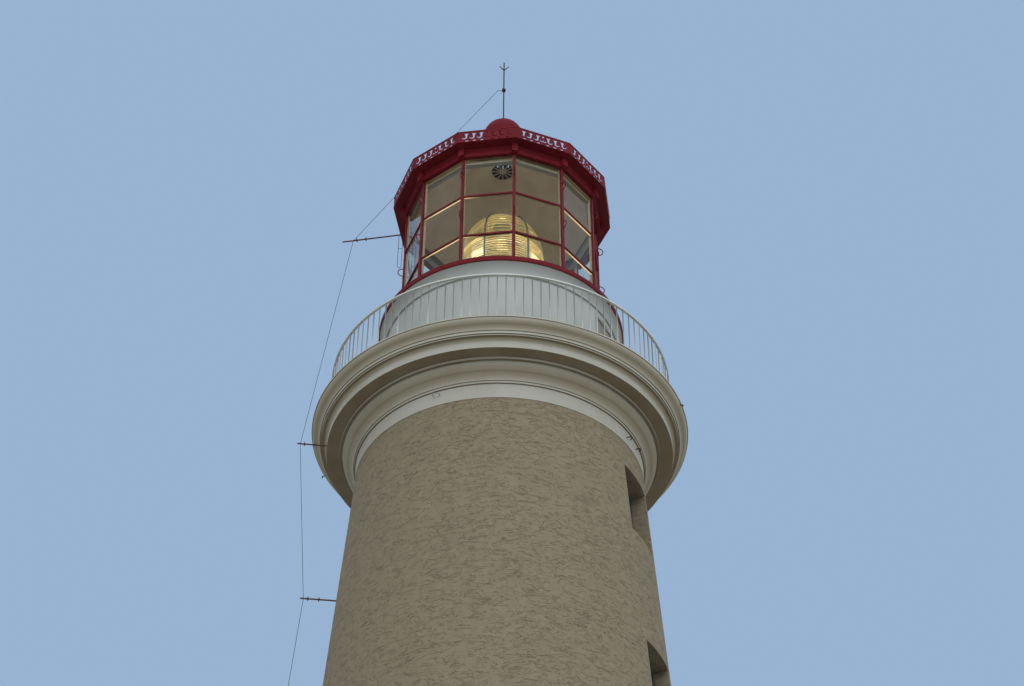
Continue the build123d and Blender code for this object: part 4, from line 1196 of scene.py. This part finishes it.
wire_turn = radians(corner_bearing(bracket_corner))
bar_bearing = np.array([np.cos(wire_turn), np.sin(wire_turn), 0])
bar_side = np.array([-bar_bearing[1], bar_bearing[0], 0])
upright = np.array([0, 0, 1])

# Each run of a bracket: reach and level of its seat, its length up to the wire, and its droop in degrees.
wall_seats = [gallery - 3.437 - 2.760 * number for number in range(7)]
bracket_runs = [
    (mullion_face, gallery + hold_levels[1], 0.990, 17.0),
    (2.904, gallery - 0.3835, 0.440, 0.0),
    *((wall_reach(seat - 0.009), seat, 0.510, 0.0) for seat in wall_seats),
]


def bracket_line(seat_reach, seat, droop):
    """Where a bracket's bar leaves its seat, and the direction that it takes."""
    ahead = bar_bearing * np.cos(radians(droop)) - upright * np.sin(radians(droop))
    return bar_bearing * seat_reach + upright * seat, ahead


def insulator(seat_reach, seat, catch, droop):
    """Two ribbed ceramic discs on a bar: each outline is a disc with a rounded rim and a short neck."""
    start, ahead = bracket_line(seat_reach, seat, droop)
    rim = np.linspace(-np.pi / 2, np.pi / 2, 9)
    outline = np.concatenate([
        [(0.0132, -0.0119), (0.020, -0.0119), (0.022, -0.006)],
        np.column_stack([0.034 + 0.006 * np.cos(rim), 0.006 * np.sin(rim)]),
        [(0.022, 0.006), (0.020, 0.0119), (0.0132, 0.0119)],
    ])
    setbacks = (0.070, 0.240)
    return [turned_on_bar(outline + np.array([0, catch - setback]), start, ahead) for setback in setbacks]


ceramic, tree, shader = patchy_material(
    "brown_glazed_ceramic", (0.120, 0.045, 0.028, 1), (0.055, 0.022, 0.016, 1), 26.0, (0.18, 0.35),
    Coat_Weight=0.5, Coat_Roughness=0.08,
)
feed(tree, shader, Normal=raised(tree, stretched_noise(tree, (1, 1, 1), 90.0, 2.0), 0.0004))
discs = joined_parts([disc for run in bracket_runs for disc in insulator(*run)])
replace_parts(put_piece("ceramic_discs", *discs, ceramic, "insulator_ceramic", 0.8), "insulators")


def rounded_route(corners, radius, steps=8):
    """A path through corners, which is rounded off from a radius before each inner corner to a radius
    after it."""
    corners = np.asarray(corners, float)
    before, after = corners[:-2] - corners[1:-1], corners[2:] - corners[1:-1]
    before /= np.linalg.norm(before, axis=1, keepdims=True)
    after /= np.linalg.norm(after, axis=1, keepdims=True)
    inner = corners[1:-1]
    bends = curved_corners(inner + before * radius, inner, inner + after * radius, steps)
    return np.concatenate([corners[:1], bends, corners[-1:]])


def conductor_corners():
    """Corners of the wire in the upright plane through the brackets, as reach and level."""
    clamp = gallery + 9.118
    route = [(0.035, clamp), (0.115, clamp), (2.072, gallery + 5.714)]
    for seat_reach, seat, catch, droop in bracket_runs[:3] + bracket_runs[-1:]:
        route.append((seat_reach + catch * np.cos(radians(droop)), seat - catch * np.sin(radians(droop))))
    return route + [(3.975, 0.300), (3.975, 0.0)]


def in_bracket_plane(points):
    """Points given as reach and level, placed in the upright plane through the brackets."""
    return points[:, :1] * bar_bearing + points[:, 1:] * upright


wire_route = in_bracket_plane(rounded_route(conductor_corners(), 0.03)) - bar_side * 0.013
wire_metal, tree, shader = patchy_material(
    "weathered_stranded_wire", (0.060, 0.058, 0.055, 1), (0.085, 0.105, 0.080, 1), 6.0, (0.45, 0.7),
    Metallic=0.7,
)
feed(tree, shader, Normal=raised(tree, stretched_noise(tree, (1, 1, 6), 90.0, 1.0), 0.0012))
wire = put_piece("stranded_conductor", *bar_along(wire_route, 0.004), wire_metal, "dark_iron", 1.2)
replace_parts(wire, "down_conductor")


def bracket_clip(seat_reach, seat, catch, droop):
    """A bent clip round the wire and the bar of a bracket."""
    start, ahead = bracket_line(seat_reach, seat, droop)
    turn = round_angles(16)[:, None]
    rim = 0.016 * np.cos(turn) * bar_side + 0.013 * np.sin(turn) * np.cross(ahead, bar_side)
    return bar_along(start + ahead * catch - bar_side * 0.006 + rim, 0.003, 6)


clips = joined_parts([bracket_clip(*run) for run in bracket_runs])
put_piece("conductor_clips", *clips, iron, "dark_iron")


def stirrup():
    """A loop of thin bar that hangs from the upper bracket: two long legs, a round foot and a short cross
    tie."""
    seat_reach, seat, _, droop = bracket_runs[0]
    near, far, depth = 1.855, 1.925, 0.800
    turn = np.linspace(0, np.pi, 9)
    middle, radius = (near + far) / 2, (far - near) / 2
    under = seat - (np.array([near, far]) - seat_reach) * np.tan(radians(droop)) - 0.006
    foot = under[1] - depth
    loop = np.concatenate([
        [(near, under[0]), (near, foot + 0.25)],
        np.column_stack([middle - radius * np.cos(turn), foot - radius * np.sin(turn)]),
        [(far, foot + 0.25), (far, under[1])],
    ])
    tie = np.array([(near, foot + 0.46), (far, foot + 0.46)])
    sizes = ((loop, 0.005), (tie, 0.004))
    return joined_parts([bar_along(in_bracket_plane(line), size) for line, size in sizes])


put_piece("bracket_stirrup", *stirrup(), iron, "dark_iron")


# Studio: a plain pale floor, an even soft light from all round, and four broad lights, stronger in front.
# The camera stands on the ground 24 m from the tower and looks up at its head.
floor_mesh = bpy.data.meshes.new("floor")
floor_reach, floor_points = 300.0, 96
around = round_angles(floor_points)
rim = floor_reach * np.column_stack([np.cos(around), np.sin(around), np.zeros(floor_points)])
rim[:, 2] = -0.004
floor_mesh.from_pydata(rim.tolist(), [], [tuple(range(floor_points))])
floor = bpy.data.objects.new("floor", floor_mesh)
bpy.context.scene.collection.objects.link(floor)
pale_floor, tree, shader = make_material("pale_floor", Roughness=0.9, Specular_IOR_Level=0.1)
seen = add_node(tree, "LightPath").outputs["Is Camera Ray"]
feed(tree, shader, Base_Color=blended(tree, seen, (0.47, 0.45, 0.42, 1), (0.62, 0.62, 0.61, 1)))
floor_mesh.materials.append(pale_floor)

world = bpy.data.worlds.new("studio")
bpy.context.scene.world = world
world.use_nodes = True
tree = world.node_tree
tree.nodes.clear()
rays = add_node(tree, "LightPath").outputs
through_glass = arithmetic(tree, "MAXIMUM", rays["Is Glossy Ray"], rays["Is Transmission Ray"])
seen = arithmetic(tree, "MAXIMUM", rays["Is Camera Ray"], through_glass)
light = add_node(tree, "Background", None, {"Color": (0.94, 0.97, 1.0, 1), "Strength": 0.30})
backdrop = add_node(tree, "Background", None, {"Color": (0.315, 0.45, 0.64, 1), "Strength": 1.0})
mixed = add_node(tree, "MixShader", None, {0: seen, 1: light.outputs[0], 2: backdrop.outputs[0]})
end = add_node(tree, "OutputWorld")
tree.links.new(mixed.outputs[0], end.inputs["Surface"])


def sun(name, strength, spread, bearing, height, colour):
    """A broad distant light from a bearing and a height above the horizon, both in degrees."""
    lamp = bpy.data.lights.new(name, "SUN")
    lamp.energy, lamp.angle, lamp.color = strength, radians(spread), colour
    lamp_object = bpy.data.objects.new(name, lamp)
    out = np.array([np.cos(radians(bearing)) * np.cos(radians(height)),
                    np.sin(radians(bearing)) * np.cos(radians(height)), np.sin(radians(height))])
    lamp_object.rotation_mode = "QUATERNION"
    lamp_object.rotation_quaternion = Vector(out).to_track_quat("Z", "Y")
    lamp_object.visible_transmission = lamp_object.visible_glossy = False
    bpy.context.scene.collection.objects.link(lamp_object)


sun("key_light", 1.25, 60, -102, 25, (1.0, 0.99, 0.97))
sun("right_light", 1.00, 70, -57, 25, (0.98, 0.99, 1.0))
sun("right_back_light", 0.90, 70, 40, 25, (1.0, 1.0, 1.0))
sun("left_back_light", 0.90, 70, 130, 25, (1.0, 1.0, 1.0))

lens = bpy.data.cameras.new("view")
lens.sensor_width, lens.lens = 36.0, 65.04
lens.clip_start, lens.clip_end = 0.1, 500.0
camera = bpy.data.objects.new("view", lens)
pitch, yaw, roll = 0.731066, 0.0079698, 0.0057202
right = np.array([np.cos(yaw), -np.sin(yaw), 0])
ahead = np.array([np.sin(yaw) * np.cos(pitch), np.cos(yaw) * np.cos(pitch), np.sin(pitch)])
up = np.array([-np.sin(yaw) * np.sin(pitch), -np.cos(yaw) * np.sin(pitch), np.cos(pitch)])
turned_view = np.eye(4)
turned_view[:3, 0] = np.cos(roll) * right + np.sin(roll) * up
turned_view[:3, 1] = np.cos(roll) * up - np.sin(roll) * right
turned_view[:3, 2] = -ahead
turned_view[:3, 3] = (0, -24.463, 1.615)
camera.matrix_world = Matrix(turned_view)
bpy.context.scene.collection.objects.link(camera)
bpy.context.scene.camera = camera
bpy.context.scene.view_settings.view_transform = "Standard"

bpy.context.view_layer.update()
